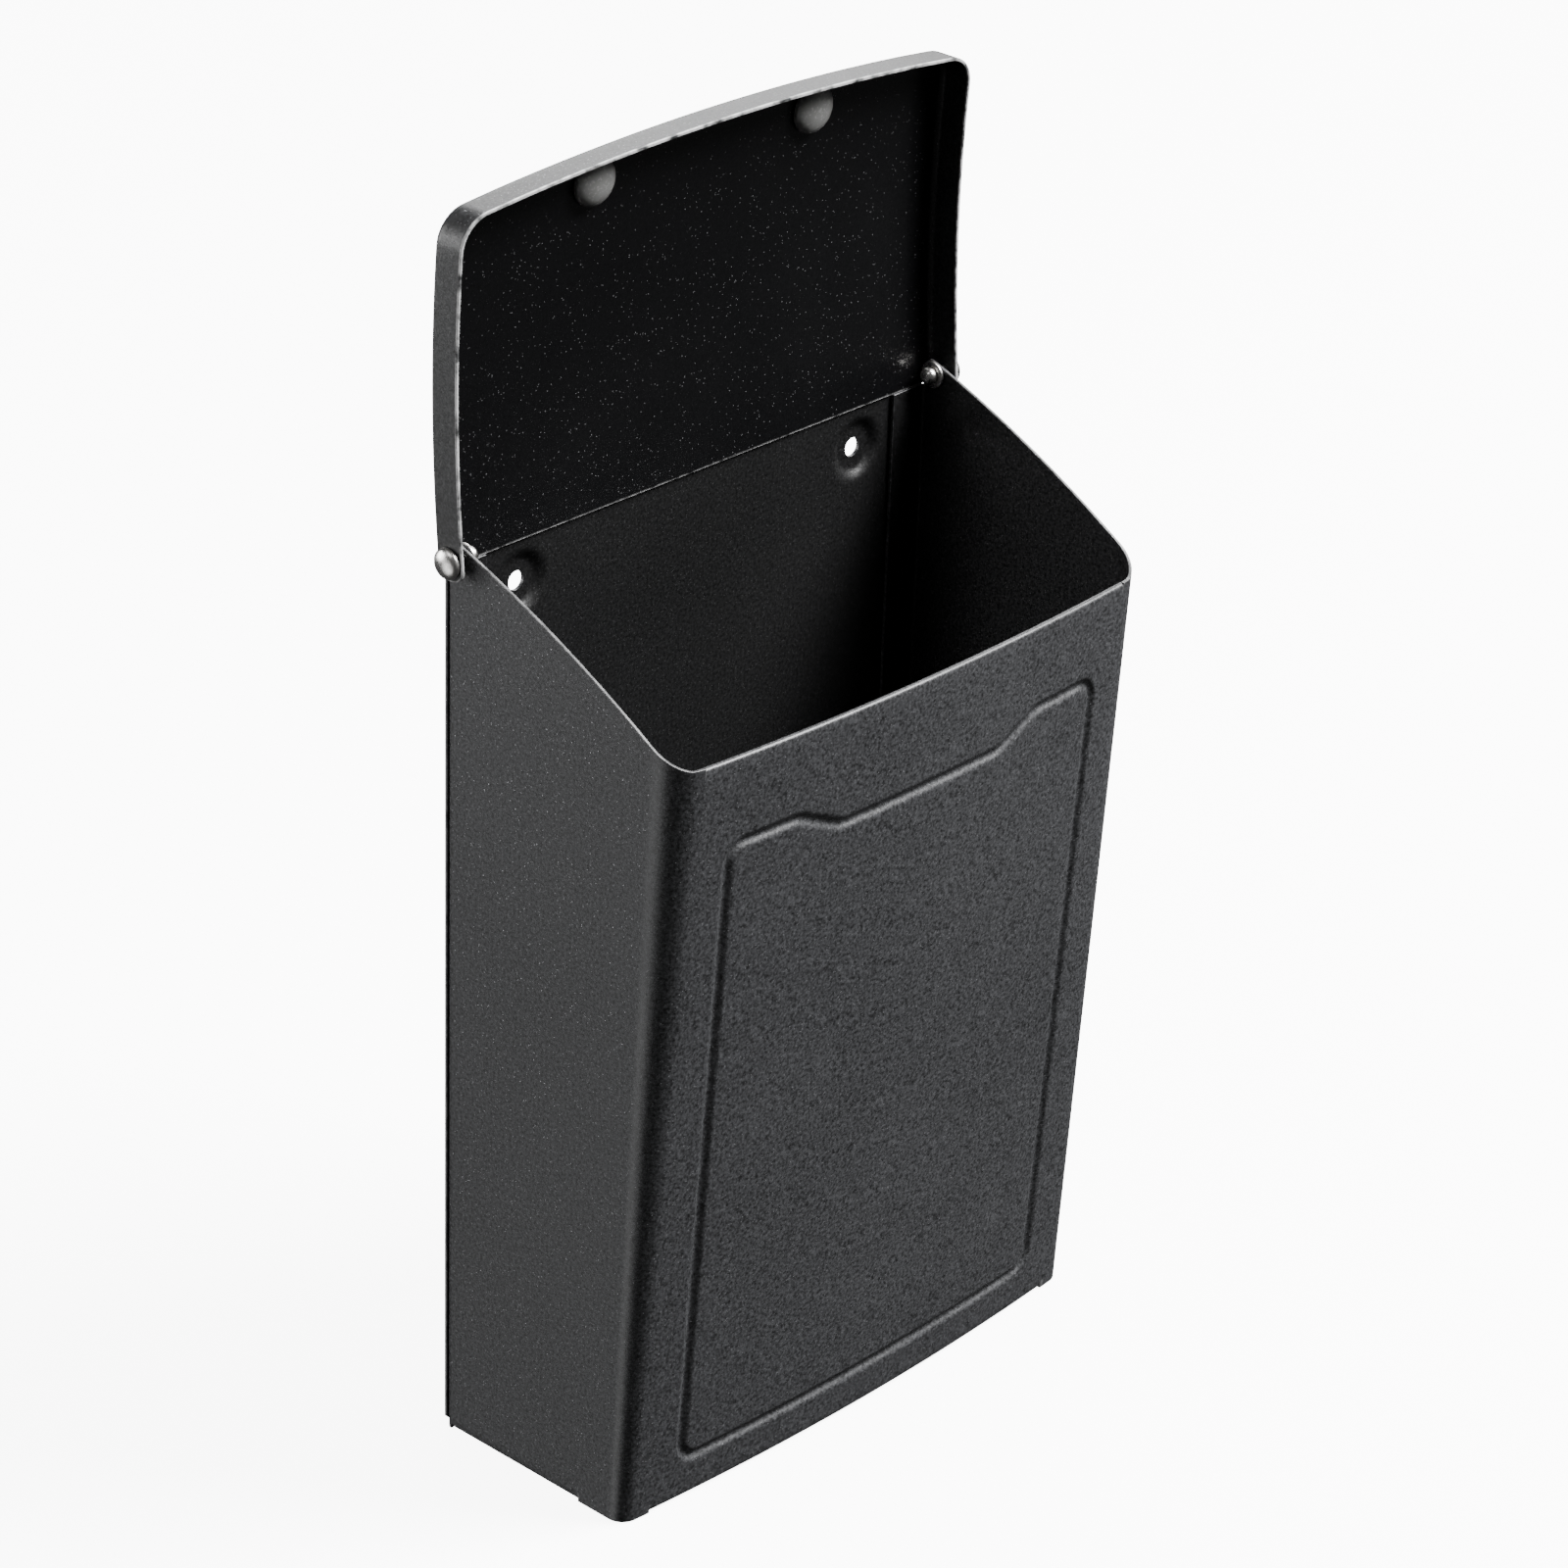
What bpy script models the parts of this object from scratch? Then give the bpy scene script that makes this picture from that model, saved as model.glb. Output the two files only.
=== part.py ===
"""Wall mounted mailbox: a folded sheet steel box with an arched lid on two rivets.

World frame: +X to the right, +Z up, and the front faces -Y.  The wall is the plane
y = 0, and the origin is the centre of the four screw pads on it.  Body pieces are
modelled from the box's bottom edge upwards and lid pieces from the hinge axis, and two
empties place them.  Lengths are in metres.
"""

import math

import bmesh
import bpy
from mathutils import Matrix, Vector

MM = 0.001

# The sheet and the gaps
SHEET = 0.9 * MM
PART_GAP = 0.3 * MM
OVERLAP = 0.4 * MM
CUT_MARGIN = 10.0 * MM
WELD_DISTANCE = 0.001 * MM

# The box, measured from its bottom edge and from the wall
BOX_HALF_WIDTH = 85.0 * MM
DEPTH_BOTTOM = 66.2 * MM
DEPTH_TOP = 79.4 * MM
FRONT_BOW = 4.2 * MM
FRONT_HEIGHT = 214.5 * MM
CORNER_RADIUS_BOTTOM = 5.0 * MM
CORNER_RADIUS_TOP = 9.5 * MM
CORNER_STEPS = 8
LOFT_TOP = 262.0 * MM
FRONT_COLUMNS = 14

# Flanges, hem and pressed bead of the front shell
REAR_FLANGE_WIDTH = 12.0 * MM
BOTTOM_FLANGE_WIDTH = 10.0 * MM
CORNER_NOTCH = 9.0 * MM
HEM_HEIGHT = 9.5 * MM
HEM_THICKNESS = 2.0 * MM
BEAD_DEPTH = 0.8 * MM
BEAD_TUBE_RADIUS = 2.6 * MM
BEAD_RIDGE_RADIUS = 1.2 * MM
BEAD_HALF_WIDTH = 66.5 * MM
BEAD_BOTTOM = 12.0 * MM
BEAD_TOP = 190.7 * MM
BEAD_DIP_BOTTOM = 184.0 * MM
BEAD_DIP_OUTER = 43.5 * MM
BEAD_DIP_INNER = 29.0 * MM
BEAD_CORNER_RADIUS = 5.5 * MM
BEAD_DIP_RADIUS = 9.0 * MM
BEAD_CORNER_STEPS = 5
BEAD_POINT_SPACING = 16.0 * MM
BEAD_TUBE_STEPS = 3

# The back panel and its four dished screw pads
PAD_DEPTH = 1.6 * MM
BACK_HEIGHT = 243.0 * MM
BACK_HALF_WIDTH = 84.5 * MM
BACK_CHAMFER = 2.5 * MM
PAD_RADIUS = 5.5 * MM
DISH_RADIUS = 9.0 * MM
SCREW_RADIUS = 2.6 * MM
SCREW_HALF_SPACING = 60.3 * MM
SCREW_LOW = 24.5 * MM
SCREW_HIGH = 231.5 * MM
DISH_STEPS = 32

# The bottom pan
PAN_CLEARANCE = 0.4 * MM
PAN_UPSTAND = 13.0 * MM
DRAIN_RADIUS = 2.5 * MM
DRAIN_HALF_SPACING = 55.0 * MM
DRAIN_BACK = 18.0 * MM
DRAIN_FRONT = 52.0 * MM

# The hinge axis, and the lid measured from it with the lid open
PIVOT_FROM_WALL = 7.2 * MM
PIVOT_HEIGHT = 247.0 * MM
LID_HALF_WIDTH = 88.6 * MM
LID_WALL_GAP = 0.1 * MM
LID_SAGITTA = 2.0 * MM
LID_CHORD = 86.0 * MM
LID_REAR_EDGE = -3.6 * MM
LID_REACH = 91.5 * MM
LID_CORNER_REACH = 86.5 * MM
LID_CORNER_RADIUS = 9.0 * MM
LID_FLANGE_DEPTH = 9.2 * MM
EAR_RADIUS = 4.6 * MM
ARC_STEPS = 24

# The gap between the side walls and the underside of the closed lid
SIDE_GAP_REAR = 1.4 * MM
SIDE_GAP_LINEAR = 1.0 * MM
SIDE_GAP_SQUARE = 3.6 * MM
HINGE_LOBE_RADIUS = 3.7 * MM
HINGE_LOBE_REAR = 3.9 * MM
HINGE_LOBE_END = math.radians(78)
PROFILE_STEPS = 20

# Hinge rivets and washers
SHANK_RADIUS = 1.65 * MM
HOLE_RADIUS = 1.75 * MM
HEAD_RADIUS = 4.0 * MM
HEAD_HEIGHT = 2.3 * MM
PEEN_RADIUS = 2.3 * MM
PEEN_LENGTH = 2.6 * MM
WASHER_RADIUS = 3.6 * MM
WASHER_THICKNESS = 0.8 * MM
TURN_STEPS = 24
SHARP_EDGE = math.radians(40)
RIVET_DOME_STEPS = 5

# Bumpers inside the lid
BUMPER_RADIUS = 6.35 * MM
BUMPER_HEIGHT = 3.5 * MM
BUMPER_HALF_SPACING = 38.0 * MM
BUMPER_REACH = 82.0 * MM
BUMPER_DOME_STEPS = 6

# Places worked out from the sizes
BOTTOM_Z = -(SCREW_LOW + SCREW_HIGH) / 2
BACK_FACE_Y = -PAD_DEPTH
BACK_FRONT_Y = BACK_FACE_Y - SHEET
SHELL_REAR_Y = BACK_FRONT_Y - PART_GAP
SHELL_FLANGE_FRONT_Y = SHELL_REAR_Y - SHEET
PIVOT_Y = -PIVOT_FROM_WALL
LID_ARC_RADIUS = LID_CHORD ** 2 / (8 * LID_SAGITTA)
LID_ARC_MIDDLE = LID_CHORD / 2 - PART_GAP
INNER_WALL_X = BOX_HALF_WIDTH - SHEET

PAINT = ("charcoal_paint", (0.030, 0.031, 0.033, 1.0), 0.55, 0.25)
INNER_PAINT = ("inner_charcoal_paint", (0.022, 0.022, 0.024, 1.0), 0.45, 0.2)
STEEL = ("rivet_steel", (0.62, 0.61, 0.59, 1.0), 0.25, 1.0)
BUMPER_GREY = ("bumper_grey", (0.30, 0.30, 0.29, 1.0), 0.35, 0.0)


def clear_scene():
    """Remove every object, so that the model is all that the file holds."""
    for item in list(bpy.data.objects):
        bpy.data.objects.remove(item, do_unlink=True)


def make_material(name, color, roughness, metallic):
    """Make a Principled material with one colour."""
    material = bpy.data.materials.new(name)
    material.use_nodes = True
    shader = material.node_tree.nodes["Principled BSDF"]
    shader.inputs["Base Color"].default_value = color
    shader.inputs["Roughness"].default_value = roughness
    shader.inputs["Metallic"].default_value = metallic
    return material


def add_object(name, mesh, parent, finish=None):
    """Link a mesh as an object under an empty, with a material of its own."""
    item = bpy.data.objects.new(name, mesh)
    item.parent = parent
    if finish:
        label, color, roughness, metallic = finish
        material = make_material(f"{name}_{label}", color, roughness, metallic)
        mesh.materials.append(material)
    bpy.context.scene.collection.objects.link(item)
    return item


def finish_mesh(name, shape):
    """Turn a bmesh into a mesh whose faces point outwards."""
    bmesh.ops.recalc_face_normals(shape, faces=shape.faces[:])
    mesh = bpy.data.meshes.new(name)
    shape.to_mesh(mesh)
    shape.free()
    return mesh


def extruded(name, outline, travel):
    """Extrude a flat outline, given as 3-D points, along a vector."""
    shape = bmesh.new()
    face = shape.faces.new([shape.verts.new(point) for point in outline])
    grown = bmesh.ops.extrude_face_region(shape, geom=[face])
    moved = [part for part in grown["geom"] if isinstance(part, bmesh.types.BMVert)]
    bmesh.ops.translate(shape, verts=moved, vec=travel)
    return finish_mesh(name, shape)


def lofted(name, lower, upper):
    """Bridge two outlines with the same number of points and cap both ends."""
    shape = bmesh.new()
    edges = []
    for outline in (lower, upper):
        points = [shape.verts.new(point) for point in outline]
        for first, second in zip(points, points[1:] + points[:1]):
            edges.append(shape.edges.new((first, second)))
    bmesh.ops.bridge_loops(shape, edges=edges)
    bmesh.ops.holes_fill(shape, edges=shape.edges[:], sides=0)
    return finish_mesh(name, shape)


def turned(name, profile, steps=TURN_STEPS):
    """Turn a profile of (along, radius) points about the X axis."""
    shape = bmesh.new()
    points = [shape.verts.new((along, 0.0, radius)) for along, radius in profile]
    edges = [shape.edges.new(pair) for pair in zip(points, points[1:])]
    bmesh.ops.spin(shape, geom=points + edges, cent=(0, 0, 0), axis=(1, 0, 0),
                   angle=math.tau, steps=steps, use_merge=True)
    bmesh.ops.remove_doubles(shape, verts=shape.verts[:], dist=WELD_DISTANCE)
    mesh = finish_mesh(name, shape)
    mesh.shade_smooth()
    mesh.set_sharp_from_angle(angle=SHARP_EDGE)
    return mesh


def rod(name, radius, half_length):
    """A round rod along X, centred on the origin."""
    ends = [(-half_length, 0.0), (-half_length, radius), (half_length, radius), (half_length, 0.0)]
    return turned(name, ends)


def boolean(item, helper, operation):
    """Join or cut a piece with a helper solid, which is kept out of the model."""
    helper.hide_render = True
    helper.display_type = "WIRE"
    modifier = item.modifiers.new(helper.name, "BOOLEAN")
    modifier.operation = operation
    modifier.solver = "EXACT"
    modifier.object = helper


def rounded(points, radii, steps):
    """Round the corners of a closed flat outline, each with its own radius."""
    count = len(points)
    outline = []
    for index, corner in enumerate(points):
        radius = radii[index]
        if radius == 0:
            outline.append(Vector(corner))
            continue
        here = Vector(corner)
        back = (Vector(points[index - 1]) - here).normalized()
        ahead = (Vector(points[(index + 1) % count]) - here).normalized()
        half_angle = back.angle(ahead) / 2
        centre = here + (back + ahead).normalized() * radius / math.sin(half_angle)
        start = here + back * radius / math.tan(half_angle) - centre
        end = here + ahead * radius / math.tan(half_angle) - centre
        sweep = start.angle(end)
        for step in range(steps + 1):
            share = step / steps
            arm = (start * math.sin((1 - share) * sweep) + end * math.sin(share * sweep)) / math.sin(sweep)
            outline.append(centre + arm)
    return outline


def box_depth(height):
    """Distance from the wall to the front corners, which grows with height."""
    return DEPTH_BOTTOM + (DEPTH_TOP - DEPTH_BOTTOM) * height / FRONT_HEIGHT


def corner_radius(height):
    """Radius of the front corners, which grows with height."""
    return CORNER_RADIUS_BOTTOM + (CORNER_RADIUS_TOP - CORNER_RADIUS_BOTTOM) * height / FRONT_HEIGHT


def front_y(across, height):
    """Outer face of the bowed front at a place across the box and a height."""
    return -box_depth(height) - FRONT_BOW * (1 - (across / BOX_HALF_WIDTH) ** 2)


def front_line(height, inset, half_width):
    """Points along the front from left to right, set in from its outer face."""
    places = [half_width * (2 * step / FRONT_COLUMNS - 1) for step in range(FRONT_COLUMNS + 1)]
    return [Vector((across, front_y(across, height) + inset, height)) for across in places]


def box_outline(height, inset, rear_y):
    """Plan outline of the box at a height, with round front corners."""
    side = BOX_HALF_WIDTH - inset
    corner_y = front_y(side, height) + inset
    straight = front_line(height, inset, side - 2 * CORNER_RADIUS_TOP)
    points = [Vector((-side, rear_y, height)), Vector((-side, corner_y, height))]
    points += straight
    points += [Vector((side, corner_y, height)), Vector((side, rear_y, height))]
    radius = corner_radius(height) - inset
    radii = [0, radius] + [0] * len(straight) + [radius, 0]
    return rounded(points, radii, CORNER_STEPS)


def lid_surface(reach, inset):
    """Distance of the open lid's arched face in front of its hinge axis, at a reach."""
    radius = LID_ARC_RADIUS - inset
    middle = PIVOT_FROM_WALL - LID_WALL_GAP - LID_ARC_RADIUS
    return middle + math.sqrt(radius ** 2 - (reach - LID_ARC_MIDDLE) ** 2)


def closed_angle():
    """Angle from open to closed, where the bumpers meet the hem of the front."""
    tip_y = lid_surface(BUMPER_REACH, SHEET) - BUMPER_HEIGHT - 2 * PART_GAP
    tip_angle = math.atan2(-tip_y, BUMPER_REACH)
    hem_y = front_y(BUMPER_HALF_SPACING, FRONT_HEIGHT) + HEM_THICKNESS / 2 - PIVOT_Y
    hem_angle = math.atan2(-hem_y, FRONT_HEIGHT - PIVOT_HEIGHT)
    return hem_angle - tip_angle


def side_top(y):
    """Height of the side walls' top edge: the closed lid's underside less a gap."""
    angle = closed_angle()
    middle_y = PIVOT_FROM_WALL - LID_WALL_GAP - LID_ARC_RADIUS
    centre_y = PIVOT_Y + middle_y * math.cos(angle) - LID_ARC_MIDDLE * math.sin(angle)
    centre_z = PIVOT_HEIGHT + middle_y * math.sin(angle) + LID_ARC_MIDDLE * math.cos(angle)
    underside = centre_z + math.sqrt((LID_ARC_RADIUS - SHEET) ** 2 - (y - centre_y) ** 2)
    share = (SHELL_REAR_Y - y) / (SHELL_REAR_Y + DEPTH_TOP)
    return underside - SIDE_GAP_REAR - SIDE_GAP_LINEAR * share - SIDE_GAP_SQUARE * share ** 2


def top_cutter(parent):
    """Everything above the box's top edge, with a round lobe left about the hinge."""
    far = BOX_HALF_WIDTH + CUT_MARGIN
    profile = [(CUT_MARGIN, BACK_HEIGHT), (-HINGE_LOBE_REAR, BACK_HEIGHT)]
    start = -math.acos((PIVOT_FROM_WALL - HINGE_LOBE_REAR) / HINGE_LOBE_RADIUS)
    end = HINGE_LOBE_END
    for step in range(CORNER_STEPS + 1):
        angle = start + (end - start) * step / CORNER_STEPS
        y = PIVOT_Y + HINGE_LOBE_RADIUS * math.cos(angle)
        profile.append((y, PIVOT_HEIGHT + HINGE_LOBE_RADIUS * math.sin(angle)))
    rear = PIVOT_Y - HINGE_LOBE_RADIUS / 2
    front = -DEPTH_TOP
    for step in range(PROFILE_STEPS + 1):
        y = rear + (front - rear) * step / PROFILE_STEPS
        profile.append((y, max(side_top(y), FRONT_HEIGHT)))
    profile += [(front - 2 * CUT_MARGIN, FRONT_HEIGHT), (front - 2 * CUT_MARGIN, LOFT_TOP + CUT_MARGIN)]
    profile.append((CUT_MARGIN, LOFT_TOP + CUT_MARGIN))
    outline = [Vector((-far, y, z)) for y, z in profile]
    return add_object("cut_top", extruded("cut_top", outline, (2 * far, 0, 0)), parent)


def bead_path():
    """Centre line of the pressed bead: a tall frame whose top edge dips in the middle."""
    corners = [(-BEAD_HALF_WIDTH, BEAD_BOTTOM), (-BEAD_HALF_WIDTH, BEAD_TOP)]
    corners += [(-BEAD_DIP_OUTER, BEAD_TOP), (-BEAD_DIP_INNER, BEAD_DIP_BOTTOM)]
    corners += [(-across, height) for across, height in reversed(corners)]
    flat = [Vector((across, height, 0.0)) for across, height in corners]
    small, wide = BEAD_CORNER_RADIUS, BEAD_DIP_RADIUS
    outline = rounded(flat, [small, small, wide, wide, wide, wide, small, small], BEAD_CORNER_STEPS)
    dense = []
    for first, second in zip(outline, outline[1:] + outline[:1]):
        pieces = max(1, round((second - first).length / BEAD_POINT_SPACING))
        dense += [first.lerp(second, step / pieces) for step in range(pieces)]
    return [(point.x, point.y) for point in dense]


def bead_tube(name, radius, inset, parent):
    """A closed tube along the bead, its centre set in from the front's outer face."""
    curve = bpy.data.curves.new(name, "CURVE")
    curve.dimensions = "3D"
    curve.bevel_depth = radius
    curve.bevel_resolution = BEAD_TUBE_STEPS
    path = bead_path()
    spline = curve.splines.new("POLY")
    spline.points.add(len(path) - 1)
    spline.use_cyclic_u = True
    for point, (across, height) in zip(spline.points, path):
        point.co = (across, front_y(across, height) + inset, height, 1.0)
    carrier = bpy.data.objects.new(f"{name}_curve", curve)
    bpy.context.scene.collection.objects.link(carrier)
    mesh = bpy.data.meshes.new_from_object(carrier)
    bpy.data.objects.remove(carrier, do_unlink=True)
    shape = bmesh.new()
    shape.from_mesh(mesh)
    bmesh.ops.remove_doubles(shape, verts=shape.verts[:], dist=WELD_DISTANCE)
    return add_object(name, finish_mesh(name, shape), parent)


def shell_helpers(parent):
    """The solids that are joined to the shell's walls: flanges, hem and bead ridge."""
    helpers = []
    for label, side in (("left", -1), ("right", 1)):
        wall = side * (BOX_HALF_WIDTH - OVERLAP)
        edge = side * (BOX_HALF_WIDTH - REAR_FLANGE_WIDTH)
        rear = [Vector((wall, SHELL_REAR_Y, 0)), Vector((edge, SHELL_REAR_Y, 0)),
                Vector((edge, SHELL_FLANGE_FRONT_Y, 0)), Vector((wall, SHELL_FLANGE_FRONT_Y, 0))]
        name = f"join_rear_flange_{label}"
        helpers.append(add_object(name, extruded(name, rear, (0, 0, BACK_HEIGHT)), parent))
        edge = side * (BOX_HALF_WIDTH - BOTTOM_FLANGE_WIDTH)
        front = -DEPTH_BOTTOM + CORNER_NOTCH
        rear = SHELL_FLANGE_FRONT_Y - PART_GAP
        floor = [Vector((wall, front, 0)), Vector((edge, front, 0)),
                 Vector((edge, rear, 0)), Vector((wall, rear, 0))]
        name = f"join_bottom_flange_{label}"
        helpers.append(add_object(name, extruded(name, floor, (0, 0, SHEET)), parent))
    reach = BOX_HALF_WIDTH - CORNER_NOTCH
    strip = front_line(0, OVERLAP, reach)
    strip += list(reversed(front_line(0, BOTTOM_FLANGE_WIDTH, reach)))
    name = "join_bottom_flange_front"
    helpers.append(add_object(name, extruded(name, strip, (0, 0, SHEET)), parent))
    rings = []
    for height in (FRONT_HEIGHT - HEM_HEIGHT, FRONT_HEIGHT + OVERLAP):
        ring = front_line(height, OVERLAP, reach)
        rings.append(ring + list(reversed(front_line(height, HEM_THICKNESS, reach))))
    helpers.append(add_object("join_hem", lofted("join_hem", *rings), parent))
    ridge_inset = BEAD_DEPTH + SHEET - BEAD_RIDGE_RADIUS
    helpers.append(bead_tube("join_bead_ridge", BEAD_RIDGE_RADIUS, ridge_inset, parent))
    return helpers


def make_front_shell(parent):
    """Front and both sides, folded from one sheet, with flanges, hem and bead."""
    outer = [box_outline(height, 0, SHELL_REAR_Y) for height in (0, LOFT_TOP)]
    shell = add_object("front_shell", lofted("front_shell", *outer), parent, PAINT)
    inner = [box_outline(height, SHEET, CUT_MARGIN) for height in (-CUT_MARGIN, LOFT_TOP + CUT_MARGIN)]
    hollow = add_object("cut_box_hollow", lofted("cut_box_hollow", *inner), parent)
    boolean(shell, hollow, "DIFFERENCE")
    for helper in shell_helpers(parent):
        boolean(shell, helper, "UNION")
    groove_inset = BEAD_DEPTH - BEAD_TUBE_RADIUS
    boolean(shell, bead_tube("cut_bead", BEAD_TUBE_RADIUS, groove_inset, parent), "DIFFERENCE")
    boolean(shell, top_cutter(parent), "DIFFERENCE")
    pin = rod("cut_pivot_holes", HOLE_RADIUS, BOX_HALF_WIDTH + CUT_MARGIN)
    cutter = add_object("cut_pivot_holes", pin, parent)
    cutter.location = (0, PIVOT_Y, PIVOT_HEIGHT)
    boolean(shell, cutter, "DIFFERENCE")
    return shell


def screw_centres():
    """The four screw places, as (across, height) from the box's bottom edge."""
    sides = (-SCREW_HALF_SPACING, SCREW_HALF_SPACING)
    return [(across, height) for height in (SCREW_LOW, SCREW_HIGH) for across in sides]


def make_back_panel(parent):
    """Flat back sheet whose four dished pads stand on the wall."""
    wide, chamfer = BACK_HALF_WIDTH, BACK_CHAMFER
    outline = [(-wide, chamfer), (-wide + chamfer, 0), (wide - chamfer, 0), (wide, chamfer)]
    outline += [(wide, BACK_HEIGHT), (-wide, BACK_HEIGHT)]
    shape = bmesh.new()
    border = [shape.verts.new((across, BACK_FRONT_Y, height)) for across, height in outline]
    edges = [shape.edges.new(pair) for pair in zip(border, border[1:] + border[:1])]
    rims = []
    for across, height in screw_centres():
        place = Matrix.Translation((across, BACK_FRONT_Y, height)) @ Matrix.Rotation(math.pi / 2, 4, "X")
        ring = bmesh.ops.create_circle(shape, segments=DISH_STEPS, radius=DISH_RADIUS, matrix=place)
        rim = list({edge for vert in ring["verts"] for edge in vert.link_edges})
        rims.append((Vector((across, BACK_FRONT_Y, height)), rim))
        edges += rim
    bmesh.ops.triangle_fill(shape, edges=edges, use_beauty=True)
    for centre, rim in rims:
        pad = grow_ring(shape, rim, centre, PAD_RADIUS / DISH_RADIUS, PAD_DEPTH)
        grow_ring(shape, pad, centre, SCREW_RADIUS / PAD_RADIUS, 0)
    bmesh.ops.recalc_face_normals(shape, faces=shape.faces[:])
    if sum(face.normal.y * face.calc_area() for face in shape.faces) > 0:
        bmesh.ops.reverse_faces(shape, faces=shape.faces[:])
    mesh = bpy.data.meshes.new("back_panel")
    shape.to_mesh(mesh)
    shape.free()
    panel = add_object("back_panel", mesh, parent, INNER_PAINT)
    wall = panel.modifiers.new("sheet", "SOLIDIFY")
    wall.thickness = SHEET
    wall.offset = -1
    return panel


def grow_ring(shape, rim, centre, scale, travel):
    """Extrude a ring of edges, scale it about a centre and push it to the wall."""
    grown = bmesh.ops.extrude_edge_only(shape, edges=rim)
    verts = [part for part in grown["geom"] if isinstance(part, bmesh.types.BMVert)]
    space = Matrix.Translation(-centre)
    bmesh.ops.scale(shape, vec=(scale, 1, scale), space=space, verts=verts)
    bmesh.ops.translate(shape, vec=(0, travel, 0), verts=verts)
    return [part for part in grown["geom"] if isinstance(part, bmesh.types.BMEdge)]


def make_bottom_pan(parent):
    """Floor sheet that lies on the shell's bottom flanges, with a rear upstand."""
    low = SHEET + PART_GAP
    inset = SHEET + PAN_CLEARANCE
    rear = SHELL_FLANGE_FRONT_Y - PART_GAP
    plan = [Vector((point.x, point.y, low)) for point in box_outline(0, inset, rear)]
    pan = add_object("bottom_pan", extruded("bottom_pan", plan, (0, 0, SHEET)), parent, INNER_PAINT)
    side = BOX_HALF_WIDTH - inset
    upright = [Vector((-side, rear, low)), Vector((side, rear, low)),
               Vector((side, rear - SHEET, low)), Vector((-side, rear - SHEET, low))]
    mesh = extruded("join_pan_upstand", upright, (0, 0, PAN_UPSTAND))
    boolean(pan, add_object("join_pan_upstand", mesh, parent), "UNION")
    for number, back in enumerate((DRAIN_BACK, DRAIN_FRONT)):
        for side, label in ((-1, "left"), (1, "right")):
            name = f"cut_drain_{label}_{number + 1}"
            cutter = add_object(name, rod(name, DRAIN_RADIUS, CUT_MARGIN), parent)
            cutter.rotation_euler = (0, math.pi / 2, 0)
            cutter.location = (side * DRAIN_HALF_SPACING, -back, low)
            boolean(pan, cutter, "DIFFERENCE")
    return pan


def lid_outline(inset, rear):
    """Plan outline of the open lid, as (across, reach) with a bowed front edge."""
    side = LID_HALF_WIDTH - inset
    bow = LID_REACH - LID_CORNER_REACH
    span = side - 2 * LID_CORNER_RADIUS
    places = [span * (1 - 2 * step / FRONT_COLUMNS) for step in range(FRONT_COLUMNS + 1)]
    front = [(across, LID_REACH - bow * (across / LID_HALF_WIDTH) ** 2 - inset) for across in places]
    corner = LID_CORNER_REACH - inset
    points = [(side, rear), (side, corner)] + front + [(-side, corner), (-side, rear)]
    flat = [Vector((across, 0.0, reach)) for across, reach in points]
    radius = LID_CORNER_RADIUS - inset
    return rounded(flat, [0, radius] + [0] * len(front) + [radius, 0], CORNER_STEPS)


def lid_slab(name, span, outer_inset, inner_inset, parent):
    """A slab between two arcs of the lid's arch; the span is (half width, low, high)."""
    half_width, low, high = span
    reaches = [low + (high - low) * step / ARC_STEPS for step in range(ARC_STEPS + 1)]
    outline = [Vector((-half_width, lid_surface(reach, outer_inset), reach)) for reach in reaches]
    outline += [Vector((-half_width, lid_surface(reach, inner_inset), reach)) for reach in reversed(reaches)]
    return add_object(name, extruded(name, outline, (2 * half_width, 0, 0)), parent)


def make_lid(parent):
    """Arched lid with a flange on three sides and a round ear at each hinge."""
    wide = LID_HALF_WIDTH + CUT_MARGIN
    far = LID_REACH + CUT_MARGIN
    plan = [Vector((p.x, CUT_MARGIN, p.z)) for p in lid_outline(0, LID_REAR_EDGE)]
    lid = add_object("lid", extruded("lid", plan, (0, -4 * CUT_MARGIN, 0)), parent, PAINT)
    arch = lid_slab("keep_lid_arch", (wide, -CUT_MARGIN, far), 0, LID_FLANGE_DEPTH, parent)
    boolean(lid, arch, "INTERSECT")
    hollow_plan = [Vector((p.x, CUT_MARGIN, p.z)) for p in lid_outline(SHEET, -2 * CUT_MARGIN)]
    mesh = extruded("cut_lid_hollow", hollow_plan, (0, -4 * CUT_MARGIN, 0))
    hollow = add_object("cut_lid_hollow", mesh, parent)
    deep = 2 * LID_FLANGE_DEPTH
    inside = lid_slab("keep_lid_inside", (wide, -3 * CUT_MARGIN, far), SHEET, deep, parent)
    boolean(hollow, inside, "INTERSECT")
    boolean(lid, hollow, "DIFFERENCE")
    for label, side in (("left", -1), ("right", 1)):
        name = f"join_ear_{label}"
        ear = add_object(name, rod(name, EAR_RADIUS, SHEET / 2), parent)
        ear.location.x = side * (LID_HALF_WIDTH - SHEET / 2)
        boolean(lid, ear, "UNION")
    holes = add_object("cut_ear_holes", rod("cut_ear_holes", HOLE_RADIUS, wide), parent)
    boolean(lid, holes, "DIFFERENCE")
    return lid


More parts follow.
